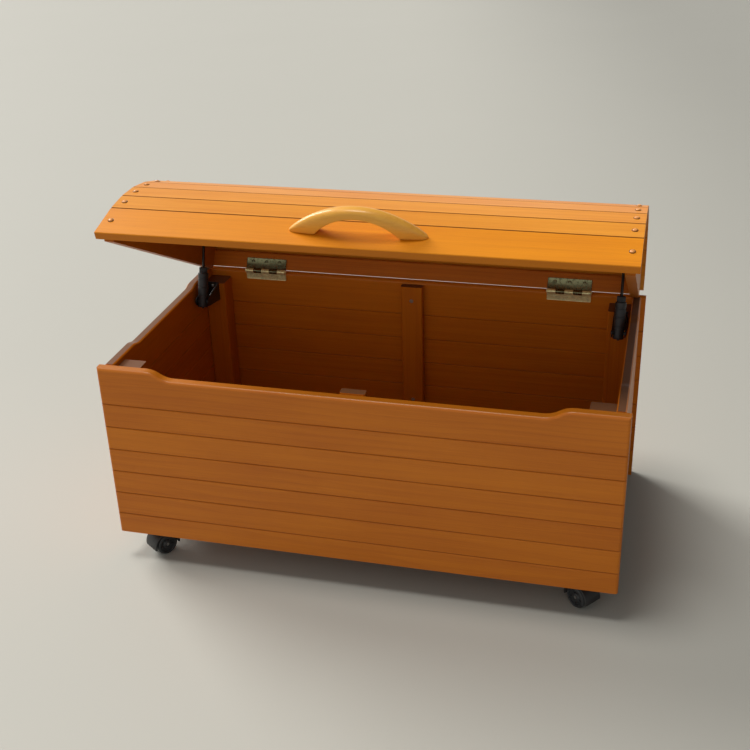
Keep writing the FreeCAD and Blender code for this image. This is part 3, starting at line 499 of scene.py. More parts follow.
class Shape:
    """Mesh under construction; every method adds geometry at a placement."""

    BEVEL_STEPS = 2

    def __init__(self):
        self.mesh = bmesh.new()

    def points(self, places, at):
        return [self.mesh.verts.new(at @ Vector(place)) for place in places]

    def rings(self, rings, caps=True):
        """Skin a run of equally long closed rings of vertices."""
        size = len(rings[0])
        for one, two in zip(rings, rings[1:]):
            for k in range(size):
                after = (k + 1) % size
                self.mesh.faces.new((one[k], one[after], two[after], two[k]))
        if caps:
            self.mesh.faces.new(rings[0][::-1])
            self.mesh.faces.new(rings[-1])

    def lathe(self, profile, at, sides=48):
        """Turn (radius, height) points about Z. A radius of zero closes an end."""
        turns = [FULL_TURN * k / sides for k in range(sides)]
        rows = []
        for radius, height in profile:
            if radius == 0:
                rows.append(self.points([(0, 0, height)], at))
            else:
                rows.append(self.points([(radius * math.cos(turn), radius * math.sin(turn), height)
                                         for turn in turns], at))
        for one, two in zip(rows, rows[1:]):
            for k in range(sides):
                after = (k + 1) % sides
                if len(one) == 1:
                    self.mesh.faces.new((one[0], two[k], two[after]))
                elif len(two) == 1:
                    self.mesh.faces.new((one[k], two[0], one[after]))
                else:
                    self.mesh.faces.new((one[k], two[k], two[after], one[after]))

    def ring_lathe(self, profile, at, sides=48):
        """Turn a closed (radius, height) section about Z."""
        self.lathe([*profile, profile[0]], at, sides)

    def slab(self, outline, low, high, at, bevel=0.0):
        """Extrude a closed (x, y) outline from one height to another, its rims rounded."""
        levels = [(0, low)]
        if bevel:
            turns = [k / self.BEVEL_STEPS * math.pi / 2 for k in range(self.BEVEL_STEPS + 1)]
            levels = [(bevel * (1 - math.sin(turn)), low + bevel * (1 - math.cos(turn)))
                      for turn in turns]
        levels += [(inset, low + high - level) for inset, level in levels[::-1]]
        self.rings([self.points([(x, y, level) for x, y in shrunk(outline, inset)], at)
                    for inset, level in levels])

    def piece(self, name, materials, body, replaces, slot, smooth=35.0):
        """Turn what was made into an object that rides on a body."""
        bmesh.ops.remove_doubles(self.mesh, verts=self.mesh.verts, dist=1e-6)
        bmesh.ops.recalc_face_normals(self.mesh, faces=self.mesh.faces)
        mesh = bpy.data.meshes.new(name)
        self.mesh.to_mesh(mesh)
        self.mesh.free()
        for entry in materials:
            mesh.materials.append(material(entry))
        mesh.polygons.foreach_set("use_smooth", [True] * len(mesh.polygons))
        mesh.set_sharp_from_angle(angle=math.radians(smooth))
        thing = bpy.data.objects.new(name, mesh)
        bpy.context.scene.collection.objects.link(thing)
        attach(thing, body)
        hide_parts(*replaces)

    def paint(self, index, start):
        """Give the faces made since start another of the piece's materials."""
        self.mesh.faces.ensure_lookup_table()
        for face in self.mesh.faces[start:]:
            face.material_index = index


def shrunk(outline, inset):
    """Move a convex-cornered outline inwards along the bisectors of its corners."""
    if not inset:
        return outline
    following = [*outline[1:], outline[0]]
    area = sum(here[0] * after[1] - after[0] * here[1]
               for here, after in zip(outline, following))
    turn = 1 if area > 0 else -1
    moved = []
    for k, (here, after) in enumerate(zip(outline, following)):
        here = Vector(here)
        before = (here - Vector(outline[k - 1])).normalized()
        after = (Vector(after) - here).normalized()
        inward = Vector((-before.y - after.y, before.x + after.x)) * turn
        if inward.length < 1e-9:
            moved.append(tuple(here))
            continue
        inward.normalize()
        cosine = max(inward.dot(Vector((-after.y, after.x)) * turn), 0.5)
        moved.append(tuple(here + inward * inset / cosine))
    return moved


def arc_points(centre, radius, start, end, steps):
    """Points on a circle from one angle to another."""
    return [(centre[0] + radius * math.cos(start + (end - start) * k / steps),
             centre[1] + radius * math.sin(start + (end - start) * k / steps))
            for k in range(steps + 1)]


def rounded_box_outline(x_low, x_high, y_low, y_high, radius, steps=5):
    """Closed outline of a rectangle with round corners."""
    outline = []
    for quarter, x, y in ((0, x_high - radius, y_high - radius),
                          (1, x_low + radius, y_high - radius),
                          (2, x_low + radius, y_low + radius),
                          (3, x_high - radius, y_low + radius)):
        outline += arc_points((x, y), radius, quarter * math.pi / 2,
                              (quarter + 1) * math.pi / 2, steps)
    return outline


def tangent_angle(corner, centre, radius, side):
    """Where a line from a corner touches a circle, on one side (-1 or 1) of it."""
    away = Vector(corner) - Vector(centre)
    return math.atan2(away.y, away.x) + side * math.acos(radius / away.length)


def aim(at, direction, spin=0.0):
    """Placement that puts the origin at a point and +Z along a direction."""
    turn = Vector((0, 0, 1)).rotation_difference(Vector(direction)).to_matrix().to_4x4()
    return Matrix.Translation(at) @ turn @ Matrix.Rotation(spin, 4, "Z")


def placement(x_axis, y_axis, z_axis, origin):
    """Placement from its three axes and its origin."""
    return Matrix(((*x_axis, 0), (*y_axis, 0), (*z_axis, 0), (*origin, 1))).transposed()


def flipped(side):
    """Placement factor that mirrors a right-hand shape to its side."""
    return Matrix.Scale(-1 if side == "left" else 1, 4, (1, 0, 0))


def lid_turn():
    """Turns the closed lid to its rest pose."""
    return (Matrix.Translation(PIN) @ Matrix.Rotation(-REST_ANGLE, 4, "X")
            @ Matrix.Translation(-PIN))


def lid_point(ahead, above, x=0.0):
    """Point of the closed lid, by its distances ahead of the hinge pin and above it, in mm."""
    return Vector((x * MM, HINGE_Y - ahead * MM, HINGE_Z + above * MM))


def slope_direction(degrees):
    """Way up a slat's face, as steps ahead of the pin and above it."""
    return -math.cos(math.radians(degrees)), math.sin(math.radians(degrees))


def slat_faces():
    """Outer face of each slat on the closed lid, in mm: its middle, slope and width."""
    directions = [slope_direction(slope) for slope in SLAT_SLOPES]
    corners = [LID_FRONT_CORNER]
    for width, (run, rise) in zip(SLAT_WIDTHS, directions):
        ahead, above = corners[-1]
        corners.append((ahead + run * width, above + rise * width))
    run, rise = directions[-1]
    ahead, above = corners[-1]
    corners.append((LID_BACK, above + rise * (LID_BACK - ahead) / run))
    corners.append((LID_BACK, LID_BACK_BOTTOM))
    directions.append((0.0, -1.0))
    return [(((one[0] + two[0]) / 2, (one[1] + two[1]) / 2), direction, math.dist(one, two))
            for one, two, direction in zip(corners, corners[1:], directions)]


def slat_seams(number):
    """Middle of a slat's face and its slope, with the lid at rest, and half its width.

    The front and back slats have a neighbour, and a stained joint, on one side only.
    """
    (ahead, above), (run, rise), width = slat_faces()[number - 1]
    if number == SLATS:
        run, rise = -run, -rise
    slope = lid_turn().to_3x3() @ Vector((0, -run, rise))
    middle = lid_turn() @ lid_point(ahead, above)
    return middle, slope, width / 2 * MM, 1 < number < SLATS


def cross_head(shape, at, radius, crown):
    """Round screw head with a cross recess; its rim lies at height zero."""
    sides, rings = 40, 12
    arm = radius * 0.16
    reach = radius * 0.55
    depth = radius * 0.35
    rows = []
    for ring in range(rings + 1):
        share = ring / rings
        row = []
        for k in range(sides):
            turn = FULL_TURN * k / sides
            x, y = radius * share * math.cos(turn), radius * share * math.sin(turn)
            along = max(abs(x), abs(y))
            beside = min(abs(x), abs(y))
            edge = min((arm - beside) / (arm * 0.35), (reach - along) / (arm * 0.5))
            pit = min(max(edge, 0.0), 1.0) * depth * (1.15 - along / reach)
            row.append((x, y, crown * (1 - share ** 2.6) - pit))
        rows.append(row)
    centre = shape.points(rows[0][:1], at)[0]
    made = [shape.points(row, at) for row in rows[1:]]
    for k in range(sides):
        shape.mesh.faces.new((centre, made[0][k], made[0][(k + 1) % sides]))
    shape.rings(made, caps=False)


def flat_head_screw(shape, at, head_radius, length):
    """Countersunk screw seen from +Z: its head's face at zero, its shank behind."""
    cross_head(shape, at, head_radius, 0.25 * MM)
    shape.lathe([(head_radius, 0), (head_radius * 0.5, -2.0 * MM), (head_radius * 0.46, -length),
                 (0, -length)], at, 20)


def pan_head_screw(shape, at, head_radius, crown, length):
    """Pan head screw seen from +Z, its flat underside 0.7 mm below zero."""
    cross_head(shape, at, head_radius * 0.9, crown)
    shape.lathe([(head_radius * 0.9, 0), (head_radius, -0.3 * MM), (head_radius, -0.7 * MM),
                 (head_radius * 0.5, -0.7 * MM), (head_radius * 0.5, -length), (0, -length)],
                at, 24)


# The pieces


def make_chest():
    """Wood of the chest, and the screws of its battens."""
    dress("front_panel", "front")
    dress("back_panel", "back")
    dress("bottom_panel", "bottom")
    for end in ("front", "back"):
        dress(end + "_cleat", "long strip")
        dress(end + "_batten", "upright")
    for side in SIDES:
        dress(side + "_side_panel", "side")
        dress("front_" + side + "_post", "upright")
        dress("rear_" + side + "_post", "upright")
        dress(side + "_cleat", "cross strip")
    make_batten_screws()


def make_lid():
    """Wood of the lid."""
    dress("lid_front_slat", "slat 1")
    for number in range(2, SLATS):
        dress("lid_slat_{:02d}".format(number), "slat {}".format(number))
    dress("lid_back_slat", "slat {}".format(SLATS))
    dress("lid_hinge_rail", "rail")
    for side in SIDES:
        dress("lid_" + side + "_end_board", "end board")


def make_batten_screws():
    """Countersunk screws in the top and bottom boards, seen from inside the chest."""
    shape = Shape()
    for (first, board), face, inward in ((FRONT_GROOVES, FRONT_BATTEN_FACE, 1.0),
                                         (BACK_GROOVES, BACK_BATTEN_FACE, -1.0)):
        joints = [TOP_EDGE]
        height = TOP_EDGE - first
        while height > BATTEN_FOOT:
            joints.append(height)
            height -= board
        boards = list(zip(joints, joints[1:]))
        for upper, lower in (boards[0], boards[-1]):
            at = aim((0, face, (upper + lower) / 2 * MM), (0, inward, 0), 0.4 * upper)
            flat_head_screw(shape, at, 3.8 * MM, 22 * MM)
    shape.piece("batten_screws", ["steel"], "chest", ["frame_screws"], "steel")


def make_plugs(scene):
    """Domed wooden buttons near both ends of every slat, with rims painted dark as painted shadow.
    """
    shape = Shape()
    radius = scene.toy_box_sizes.plug_diameter / 2
    foot, seat, crown = 0.3 * MM, 0.5 * MM, 2.35 * MM
    rim = [(0, -0.4 * MM), (radius, -0.4 * MM), (radius, 0.35 * MM), (radius * 0.96, 0.7 * MM),
           (radius * 0.86, 0.7 * MM), (radius * 0.78, foot), (0, foot)]
    turns = [k / 8 * math.pi / 2 for k in range(1, 8)]
    button = [(radius * 0.77, 0.25 * MM)]
    button += [(radius * 0.77 * math.cos(turn), seat + (crown - seat) * math.sin(turn))
               for turn in turns]
    button.append((0, crown))
    for (ahead, above), (run, rise), _ in slat_faces():
        for x in (-PLUG_X, PLUG_X):
            at = lid_turn() @ aim(lid_point(ahead, above, x), (0, -rise, -run))
            # The rim's faces take the second material, the painted shadow.
            start = len(shape.mesh.faces)
            shape.lathe(rim, at, 28)
            shape.paint(1, start)
            shape.lathe(button, at, 28)
    shape.piece("slat_buttons", ["plug", "rim"], "lid", ["slat_plugs"], "plug_wood", 60)


def arc_height(x, half_span, top, foot):
    """Height at x of an arc that is top high in the middle and foot high at its ends."""
    drop = top - foot
    radius = (half_span ** 2 + drop ** 2) / 2 / drop
    return top - radius + math.sqrt(max(radius ** 2 - x ** 2, 0))


def bow_section(sizes, share):
    """Section of the bow handle at a share (-1 to 1) of its half length."""
    half = sizes.handle_length / 2
    opening = sizes.handle_opening / 2
    x = share * half
    top = arc_height(x, half, sizes.handle_height, HANDLE_TOE)
    low = arc_height(x, opening, sizes.handle_opening_height, 0) if abs(x) < opening else 0.0
    taper = math.sqrt(max(1 - abs(share) ** 3.2, 0.0))
    width = sizes.handle_width / 2 * (0.14 + 0.86 * taper)
    if abs(share) > HANDLE_TIP:
        end = math.sqrt(max(1 - ((abs(share) - HANDLE_TIP) / (1 - HANDLE_TIP)) ** 2, 0.02))
        width *= 0.6 + 0.4 * end
        top = low + (top - low) * (0.55 + 0.45 * end)
    half_height = (top - low) / 2
    section = []
    for k in range(32):
        turn = FULL_TURN * k / 32
        across, up = math.cos(turn), math.sin(turn)
        # Nearly round above, nearly square underneath
        power = 2 / 2.3 if up >= 0 else 2 / 8
        section.append((x, math.copysign(abs(across) ** power, across) * width,
                        low + half_height + math.copysign(abs(up) ** power, up) * half_height))
    return section


def make_handle(scene):
    """Bow handle with a rounded back, an arched opening and tapering tips."""
    sizes = scene.toy_box_sizes
    run, rise = slope_direction(SLAT_SLOPES[0])
    up_slat = Vector((0, -run, rise))
    outward = Vector((0, -rise, -run))
    middle = lid_point(*LID_FRONT_CORNER) + up_slat * HANDLE_UP_SLAT
    at = lid_turn() @ placement((1, 0, 0), up_slat, outward, middle)
    stations = [-1.0, -0.995, -0.985]
    stations += [-HANDLE_TIP + 2 * HANDLE_TIP * k / 110 for k in range(111)]
    stations += [0.985, 0.995, 1.0]
    shape = Shape()
    shape.rings([shape.points(bow_section(sizes, share), at) for share in stations])
    shape.piece("bow_handle", ["handle"], "lid", ["lid_handle"], "pine", 70)

    screws = Shape()
    for x in (-HANDLE_SCREW_X, HANDLE_SCREW_X):
        head = middle + Vector((x * MM, 0, 0)) - outward * (HANDLE_SCREW_DEPTH + 0.7 * MM)
        pan_head_screw(screws, lid_turn() @ aim(head, -outward, 0.5), 3.2 * MM, 0.9 * MM,
                       22 * MM)
    screws.piece("handle_fixings", ["steel"], "lid", ["handle_screws"], "steel")


def knuckle(shape, start, end, radius, at):
    """Rolled knuckle along X with rounded rims, bored for the pin."""
    rim = 0.35 * MM
    bore = 2.55 * MM
    shape.ring_lathe([(bore, start), (radius - rim, start), (radius, start + rim),
                      (radius, end - rim), (radius - rim, end), (bore, end)], at @ ALONG_X, 40)


def make_leaf(sizes, name, material_name, body, node, axis, first, plate, web, back):
    """Hinge leaf: a plate behind the pin, and every second knuckle with its web."""
    length = sizes.hinge_length
    step = length / sizes.hinge_knuckles
    gap = 0.2 * MM
    thick = 2.0 * MM
    web_reach = 3.4 * MM
    shape = Shape()
    upright = axis @ Matrix.Rotation(math.pi / 2, 4, "X")
    outline = rounded_box_outline(-length / 2, length / 2, *plate, 1.6 * MM)
    shape.slab(outline, thick - back, -back, upright, 0.3 * MM)
    for k in range(first, sizes.hinge_knuckles, 2):
        start = -length / 2 + step * k + gap
        end = start + step - 2 * gap
        knuckle(shape, start, end, 4.5 * MM, axis)
        outline = [(x, max(min(y, web_reach), -web_reach))
                   for x, y in rounded_box_outline(start, end, *web, 0.2 * MM, 1)]
        shape.slab(outline, thick - back, -back, upright)
    shape.piece(name, [material_name], body, [node], "brass")


def make_hinges(scene):
    """Brass butt hinges: a leaf on the chest, a leaf on the lid, pins and screws."""
    sizes = scene.toy_box_sizes
    # Part, material, body, placement, first knuckle, heights of plate and web about the
    # pin, distance from the pin to the plate's back, height of the screws
    leaves = (
        ("box", "brass", "chest", Matrix.Identity(4), 0, (-18 * MM, -2 * MM),
         (-4.0 * MM, 0.5 * MM), 4.5 * MM, -11.5 * MM),
        # The lid's leaf takes a shaded copy of the chest leaf's brass: painted shade.
        ("lid", "dark brass", "lid", lid_turn(), 1, (2 * MM, 24 * MM),
         (-0.5 * MM, 4.0 * MM), 4.0 * MM, 17.5 * MM))
    screws = {"box": Shape(), "lid": Shape()}
    pins = Shape()
    half = sizes.hinge_length / 2 / MM
    button = mm((0, -half - 1.5), (1.8, -half - 1.4), (2.5, -half - 0.9), (3.4, -half - 0.4),
                (3.4, -half), (2.5, -half))
    pin = button + [(radius, -height) for radius, height in button[::-1]]
    for side in SIDES:
        middle = Vector((HINGE_X * (-1 if side == "left" else 1), HINGE_Y, HINGE_Z))
        axis = Matrix.Translation(middle)
        for part, metal, body, turn, first, plate, web, back, level in leaves:
            make_leaf(sizes, "{}_{}_leaf".format(side, part), metal, body,
                      "{}_hinge_{}_leaf".format(side, part), turn @ axis, first, plate, web, back)
            for k in (-1, 0, 1):
                head = middle + Vector((HINGE_SCREW_STEP * k, back - 2.05 * MM, level))
                flat_head_screw(screws[part], turn @ aim(head, (0, -1, 0), 0.3 + k * 1.1),
                                3.3 * MM, 8 * MM)
        pins.lathe(pin, axis @ ALONG_X, 32)
    pins.piece("hinge_pin_pair", ["brass"], "chest", ["hinge_pins"], "brass")
    screws["box"].piece("chest_leaf_screws", ["brass"], "chest", ["box_hinge_screws"], "brass")
    screws["lid"].piece("lid_leaf_screws", ["dark brass"], "lid", ["lid_hinge_screws"], "brass")


def make_stay_head(side, mirror):
    """Ribbed friction head with its knurled nut and the two pins it rocks on."""
    head = Shape()
    along = mirror @ aim(STAY_LOW, STAY_DIRECTION)
    profile = mm((3.1, -10), (8.1, -10), (9.1, -9.4), (9.5, -8.4), (9.5, -5.6), (8.6, -5.2),
                 (8.6, 8.2), (9.5, 8.6))
    for level in (12, 27, 42):
        profile += mm((9.5, level), (8.8, level + 0.4), (8.8, level + 1.4), (9.5, level + 1.8))
    profile += mm((9.5, 52.6), (8.7, 53.7), (7.2, 53.9), (7.2, 54.6), (3.1, 54.6))
    head.ring_lathe(profile, along)
    nut = []
    for k in range(96):
        radius = (7.5 if k % 4 < 2 else 7.05) * MM
        turn = FULL_TURN * k / 96
        nut.append((radius * math.cos(turn), radius * math.sin(turn)))
    head.slab(nut, 54.6 * MM, 63.4 * MM, along, 0.5 * MM)
    head.ring_lathe(mm((3.1, 63.2), (6.4, 63.2), (5.6, 64), (3.1, 64)), along, 40)
    for end in (-1, 1):
        head.lathe(mm((0, end * 8.0), (3, end * 8.0), (3, end * 12.6), (2.5, end * 13.2),
                      (0, end * 13.3)), mirror @ aim(STAY_LOW, (1, 0, 0)), 28)
    head.piece(side + "_friction_head", ["plastic"], side + "_stay_head",
               [side + "_stay_head"], "black_plastic")


def make_stay_rod(side, mirror, shows):
    """Rod that hangs from the lid by its eye and slides through the head."""
    rod = Shape()
    reach = (STAY_HIGH - STAY_LOW).length + 10 * MM + shows
    profile = mm((0, 4.6), (3.2, 4.6), (3.2, 6.4), (2.5, 7.6))
    profile += [(2.5 * MM, reach - 0.8 * MM), (1.8 * MM, reach), (0, reach)]
    rod.lathe(profile, mirror @ aim(STAY_HIGH, -STAY_DIRECTION), 32)
    rod.ring_lathe(mm((2.6, -2.9), (5.4, -2.9), (6, -2.3), (6, 2.3), (5.4, 2.9), (2.6, 2.9)),
                   mirror @ aim(STAY_HIGH, (1, 0, 0)), 40)
    rod.piece(side + "_slide_rod", ["dark steel"], side + "_stay_rod",
              [side + "_stay_rod"], "dark_steel")


def make_stay_stud(side, mirror):
    """Shoulder screw in the end board that the rod's eye turns on."""
    stud = Shape()
    board = END_BOARD_INNER - STAY_X
    profile = mm((0, -4.8), (3.9, -4.7), (4.5, -4.2), (4.5, -3.3), (2.5, -3.3), (2.5, 3.3),
                 (4, 3.3))
    profile += [(4 * MM, board), (2.5 * MM, board), (2.5 * MM, board + 11 * MM),
                (0, board + 11 * MM)]
    stud.lathe(profile, mirror @ aim(STAY_HIGH, (1, 0, 0)), 32)
    stud.piece(side + "_shoulder_stud", ["steel"], "lid", [side + "_stay_stud"], "steel")


def make_fork(side, mirror):
    """Bent steel fork on the rear post: a plate and two cheeks with bosses."""
    fork = Shape()
    pivot = (STAY_LOW.y, STAY_LOW.z)
    upper = (REAR_POST_FACE, STAY_LOW.z + 18 * MM)
    lower = (REAR_POST_FACE, STAY_LOW.z - 18 * MM)
    nose = 8 * MM
    start = tangent_angle(upper, pivot, nose, 1)
    end = tangent_angle(lower, pivot, nose, -1) % FULL_TURN
    cheek = [lower, upper, *arc_points(pivot, nose, start, end, 14)]
    inner, outer = 10.1 * MM, 12.1 * MM
    sideways = mirror @ placement((0, 1, 0), (0, 0, 1), (1, 0, 0), (STAY_X, 0, 0))
    for facing, near, far in ((-1, -outer, -inner), (1, inner, outer)):
        fork.slab(cheek, near, far, sideways, 0.3 * MM)
        boss = STAY_LOW + Vector((facing * outer, 0, 0))
        fork.ring_lathe(mm((3.1, -0.4), (5.6, -0.4), (5.4, 0.25), (3.1, 0.25)),
                        mirror @ aim(boss, (facing, 0, 0)), 32)
    plate = rounded_box_outline(STAY_X - outer, STAY_X + outer, lower[1], upper[1], 1.2 * MM)
    upright = mirror @ placement((1, 0, 0), (0, 0, 1), (0, -1, 0), (0, REAR_POST_FACE, 0))
    fork.slab(plate, 0.0, 2 * MM, upright, 0.3 * MM)
    fork.piece(side + "_fork", ["paint"], "chest", [side + "_stay_bracket"], "dark_steel")


def make_stays(scene):
    """Friction stays: head, rod, stud and fork on each side."""
    screws = Shape()
    for side in SIDES:
        mirror = flipped(side)
        make_stay_head(side, mirror)
        make_stay_rod(side, mirror, scene.toy_box_sizes.rod_shows)
        make_stay_stud(side, mirror)
        make_fork(side, mirror)
        for up in (-11, 11):
            head = Vector((STAY_X, REAR_POST_FACE - 2.7 * MM, STAY_LOW.z + up * MM))
            pan_head_screw(screws, mirror @ aim(head, (0, -1, 0), 0.8 + up), 3.2 * MM,
                           0.85 * MM, 12 * MM)
    screws.piece("fork_screws", ["steel"], "chest", ["stay_bracket_screws"], "steel")


def make_caster_plate(side):
    """Square plate under the post and cleats with the socket of the stem."""
    plate = Shape()
    centre = CASTER_CENTRES[side]
    half = 21 * MM
    stand = Matrix.Translation(centre + Vector((0, 0, FLOOR_GAP)))
    plate.slab(rounded_box_outline(-half, half, -half, half, 5 * MM), -2.5 * MM, 0.0, stand,
               0.4 * MM)
    plate.ring_lathe(mm((4.1, -10.4), (11.8, -10.4), (13, -9.4), (13, -3.4), (14, -2.5),
                        (14, -2.0), (4.1, -2.0)), stand)
    for x in (-1, 1):
        for y in (-1, 1):
            head = centre + Vector((x * 15.5 * MM, y * 15.5 * MM, FLOOR_GAP - 3.1 * MM))
            pan_head_screw(plate, aim(head, (0, 0, -1), x + y * 0.7), 2.9 * MM, 0.7 * MM,
                           1.2 * MM)
    plate.piece(side + "_caster_plate", ["steel"], "chest", [side + "_caster_socket"], "steel")


def sweep_hood(hood, section, start, end, steps, radius, at):
    """Skin an (x, distance from the axle) section over the wheels."""
    rows = []
    for k in range(steps + 1):
        turn = start + (end - start) * k / steps
        rows.append(hood.points([(x, -CASTER_TRAIL + reach * math.cos(turn),
                                  radius + reach * math.sin(turn)) for x, reach in section], at))
    hood.rings(rows)


def make_caster_hood(side, swivel, hub, radius, far):
    """Hood over both wheels with its ridges, web, hub and stem."""
    hood = Shape()
    round_over = 1.2 * MM
    section = []
    for corner, start in ((far - round_over, 0), (-far + round_over, math.pi / 2)):
        section += arc_points((corner, HOOD_RADIUS - round_over), round_over, start,
                              start + math.pi / 2, 4)
    section += [(-far, HOOD_RADIUS - 2.7 * MM), (-far + 0.5 * MM, HOOD_RADIUS - 3 * MM),
                (far - 0.5 * MM, HOOD_RADIUS - 3 * MM), (far, HOOD_RADIUS - 2.7 * MM)]
    start = math.asin(-4 * MM / HOOD_RADIUS)
    end = math.pi - start
    sweep_hood(hood, section, start, end, 40, radius, swivel)
    for ridge in (-9.5, 9.5):
        section = [((ridge + x) * MM, HOOD_RADIUS + up * MM)
                   for x, up in ((-0.9, -0.4), (0.9, -0.4), (0.5, 0.0), (-0.5, 0.0))]
        sweep_hood(hood, section, start + 0.25, end - 0.25, 30, radius, swivel)
    hood.ring_lathe(mm((3.1, -2.5), (15, -2.5), (15, 2.5), (3.1, 2.5)), hub, 56)
    web = [(x * MM, -CASTER_TRAIL + y * MM)
           for x, y in ((-2.4, -15), (2.4, -15), (2.4, 15), (-2.4, 15))]
    hood.slab(web, radius, radius + 15 * MM, swivel)
    crown = radius + HOOD_RADIUS
    stem = [(0, 30 * MM), (10 * MM, 30 * MM), (10 * MM, crown - 1.2 * MM),
            (9 * MM, crown - 0.2 * MM), (4 * MM, crown - 0.1 * MM)]
    hood.lathe(stem + mm((4, 51.8), (3.4, 52.4), (0, 52.4)), swivel, 40)
    hood.piece(side + "_caster_hood", ["plastic"], side + "_caster",
               [side + "_caster_housing"], "black_plastic")


def make_wheels(side, hub, radius, far):
    """Twin wheels with a grooved tread, a dished face and five spokes."""
    wheels = Shape()
    tread, near, out = radius / MM, WHEEL_INNER / MM, far / MM
    rim = mm((3.05, near), (tread - 1.0, near), (tread - 0.3, near + 0.4), (tread, near + 1.2),
             (tread, near + 5.4), (tread - 0.5, near + 5.8), (tread - 0.5, near + 6.6),
             (tread, near + 7.0), (tread, out - 3.2), (tread - 0.9, out - 1.2),
             (tread - 2.6, out - 0.3), (tread - 4.2, out), (tread - 5.0, out - 0.4),
             (tread - 5.6, out - 2.4), (8.4, out - 3.0), (7.2, out - 1.0), (6.0, out - 0.4),
             (3.05, out - 0.3))
    arm = rounded_box_outline(7.0 * MM, radius - 5.2 * MM, -1.3 * MM, 1.3 * MM, 0.4 * MM, 2)
    for facing in (math.pi, 0):
        face = hub @ Matrix.Rotation(facing, 4, "X")
        wheels.ring_lathe(rim, face, 64)
        for spoke in range(5):
            turn = Matrix.Rotation(FULL_TURN * spoke / 5, 4, "Z")
            wheels.slab(arm, far - 3.4 * MM, far - 1.3 * MM, face @ turn, 0.4 * MM)
    wheels.piece(side + "_twin_wheels", ["tread"], side + "_wheels",
                 [side + "_caster_wheels"], "black_plastic")


def make_casters(scene):
    """Twin-wheel casters: plate, hood with stem, axle and wheels on each side."""
    sizes = scene.toy_box_sizes
    radius = sizes.wheel_diameter / 2
    far = WHEEL_INNER + sizes.wheel_width
    for side in SIDES:
        make_caster_plate(side)
        swivel = (Matrix.Translation(CASTER_CENTRES[side])
                  @ Matrix.Rotation(CASTER_SWIVELS[side], 4, "Z"))
        hub = swivel @ aim((0, -CASTER_TRAIL, radius), (1, 0, 0))
        make_caster_hood(side, swivel, hub, radius, far)
        axle = Shape()
        end = far - 1 * MM
        axle.lathe([(0, -end), (2.6 * MM, -end), (3 * MM, -end + 0.4 * MM),
                    (3 * MM, end - 0.4 * MM), (2.6 * MM, end), (0, end)], hub, 28)
        axle.piece(side + "_axle", ["steel"], side + "_caster", [side + "_caster_axle"], "steel")
        make_wheels(side, hub, radius, far)


# The stage


def make_floor(scene):
    mesh = bpy.data.meshes.new("floor")
    mesh.from_pydata([(x * FLOOR_REACH, y * FLOOR_REACH, 0)
                      for x, y in ((-1, -1), (1, -1), (1, 1), (-1, 1))], [], [range(4)])
    mesh.materials.append(material("floor"))
    floor = bpy.data.objects.new("floor", mesh)
    scene.collection.objects.link(floor)


def make_lamp(scene, name, energy, angle, aimed):
    """Soft lamp that shines along a direction; angle is its width in degrees."""
    lamp = bpy.data.lights.new(name, "SUN")
    lamp.energy = energy
    lamp.angle = math.radians(angle)
    lamp.color = (1.0, 0.98, 0.94)
    holder = bpy.data.objects.new(name, lamp)
    holder.rotation_euler = Vector(aimed).to_track_quat("-Z", "Y").to_euler()
    scene.collection.objects.link(holder)


def make_world(scene):
    """Studio walls: pale low down, lighter in front and behind, dark on the right."""
    sky = Shader("studio", bpy.data.worlds)
    x, y, z = sky.split(sky.node("ShaderNodeTexCoord", output="Generated"))
    bright = 0.13 + (1 - z.ramp(0.1, 0.6)) * 0.42 + (0 - y).ramp(0.0, 0.8) * 0.38
    bright = bright + y.ramp(0.2, 0.9) * (1 - z.ramp(0.2, 0.5)) * 0.55
    bright = bright * (1 - x.ramp(-0.1, 0.9) * 0.65)
    light = sky.node("ShaderNodeBackground", None,
                     {"Color": sky.mix(bright, (0, 0, 0, 1), (1.0, 0.99, 0.95, 1)),
                      "Strength": 1.0})
    sky.node("ShaderNodeOutputWorld", None, {"Surface": light})
    scene.world = sky.owner


def make_camera(scene):
    """Camera at the photograph's place and viewing angle, fitted to the box's edges."""
    yaw, pitch, roll = [math.radians(angle)
                        for angle in (CAMERA_YAW, CAMERA_PITCH, CAMERA_ROLL)]
    forward = Vector((-math.sin(yaw) * math.cos(pitch), math.cos(yaw) * math.cos(pitch),
                      -math.sin(pitch)))
    right = Vector((math.cos(yaw), math.sin(yaw), 0))
    up = right.cross(forward)
    turn = Matrix.Rotation(roll, 3, forward)
    camera = bpy.data.objects.new("camera", bpy.data.cameras.new("camera"))
    camera.data.lens = CAMERA_LENS
    camera.data.sensor_width = CAMERA_SENSOR
    camera.matrix_world = placement(turn @ right, turn @ up, -forward, CAMERA_PLACE)
    scene.collection.objects.link(camera)
    scene.camera = camera


def make_stage(scene):
    """Floor, studio light, world and camera."""
    make_floor(scene)
    for lamp in LAMPS:
        make_lamp(scene, *lamp)
    make_world(scene)
    make_camera(scene)
    scene.view_settings.view_transform = "Standard"


# Settings, operators and panel


def size(name, description, value):
    return FloatProperty(name=name, description=description, default=value, unit="LENGTH",
                         precision=4, min=0.0)


def colour(name, description, value):
    return FloatVectorProperty(name=name, description=description, default=(*value, 1.0), size=4,
                               subtype="COLOR", min=0.0, max=1.0)


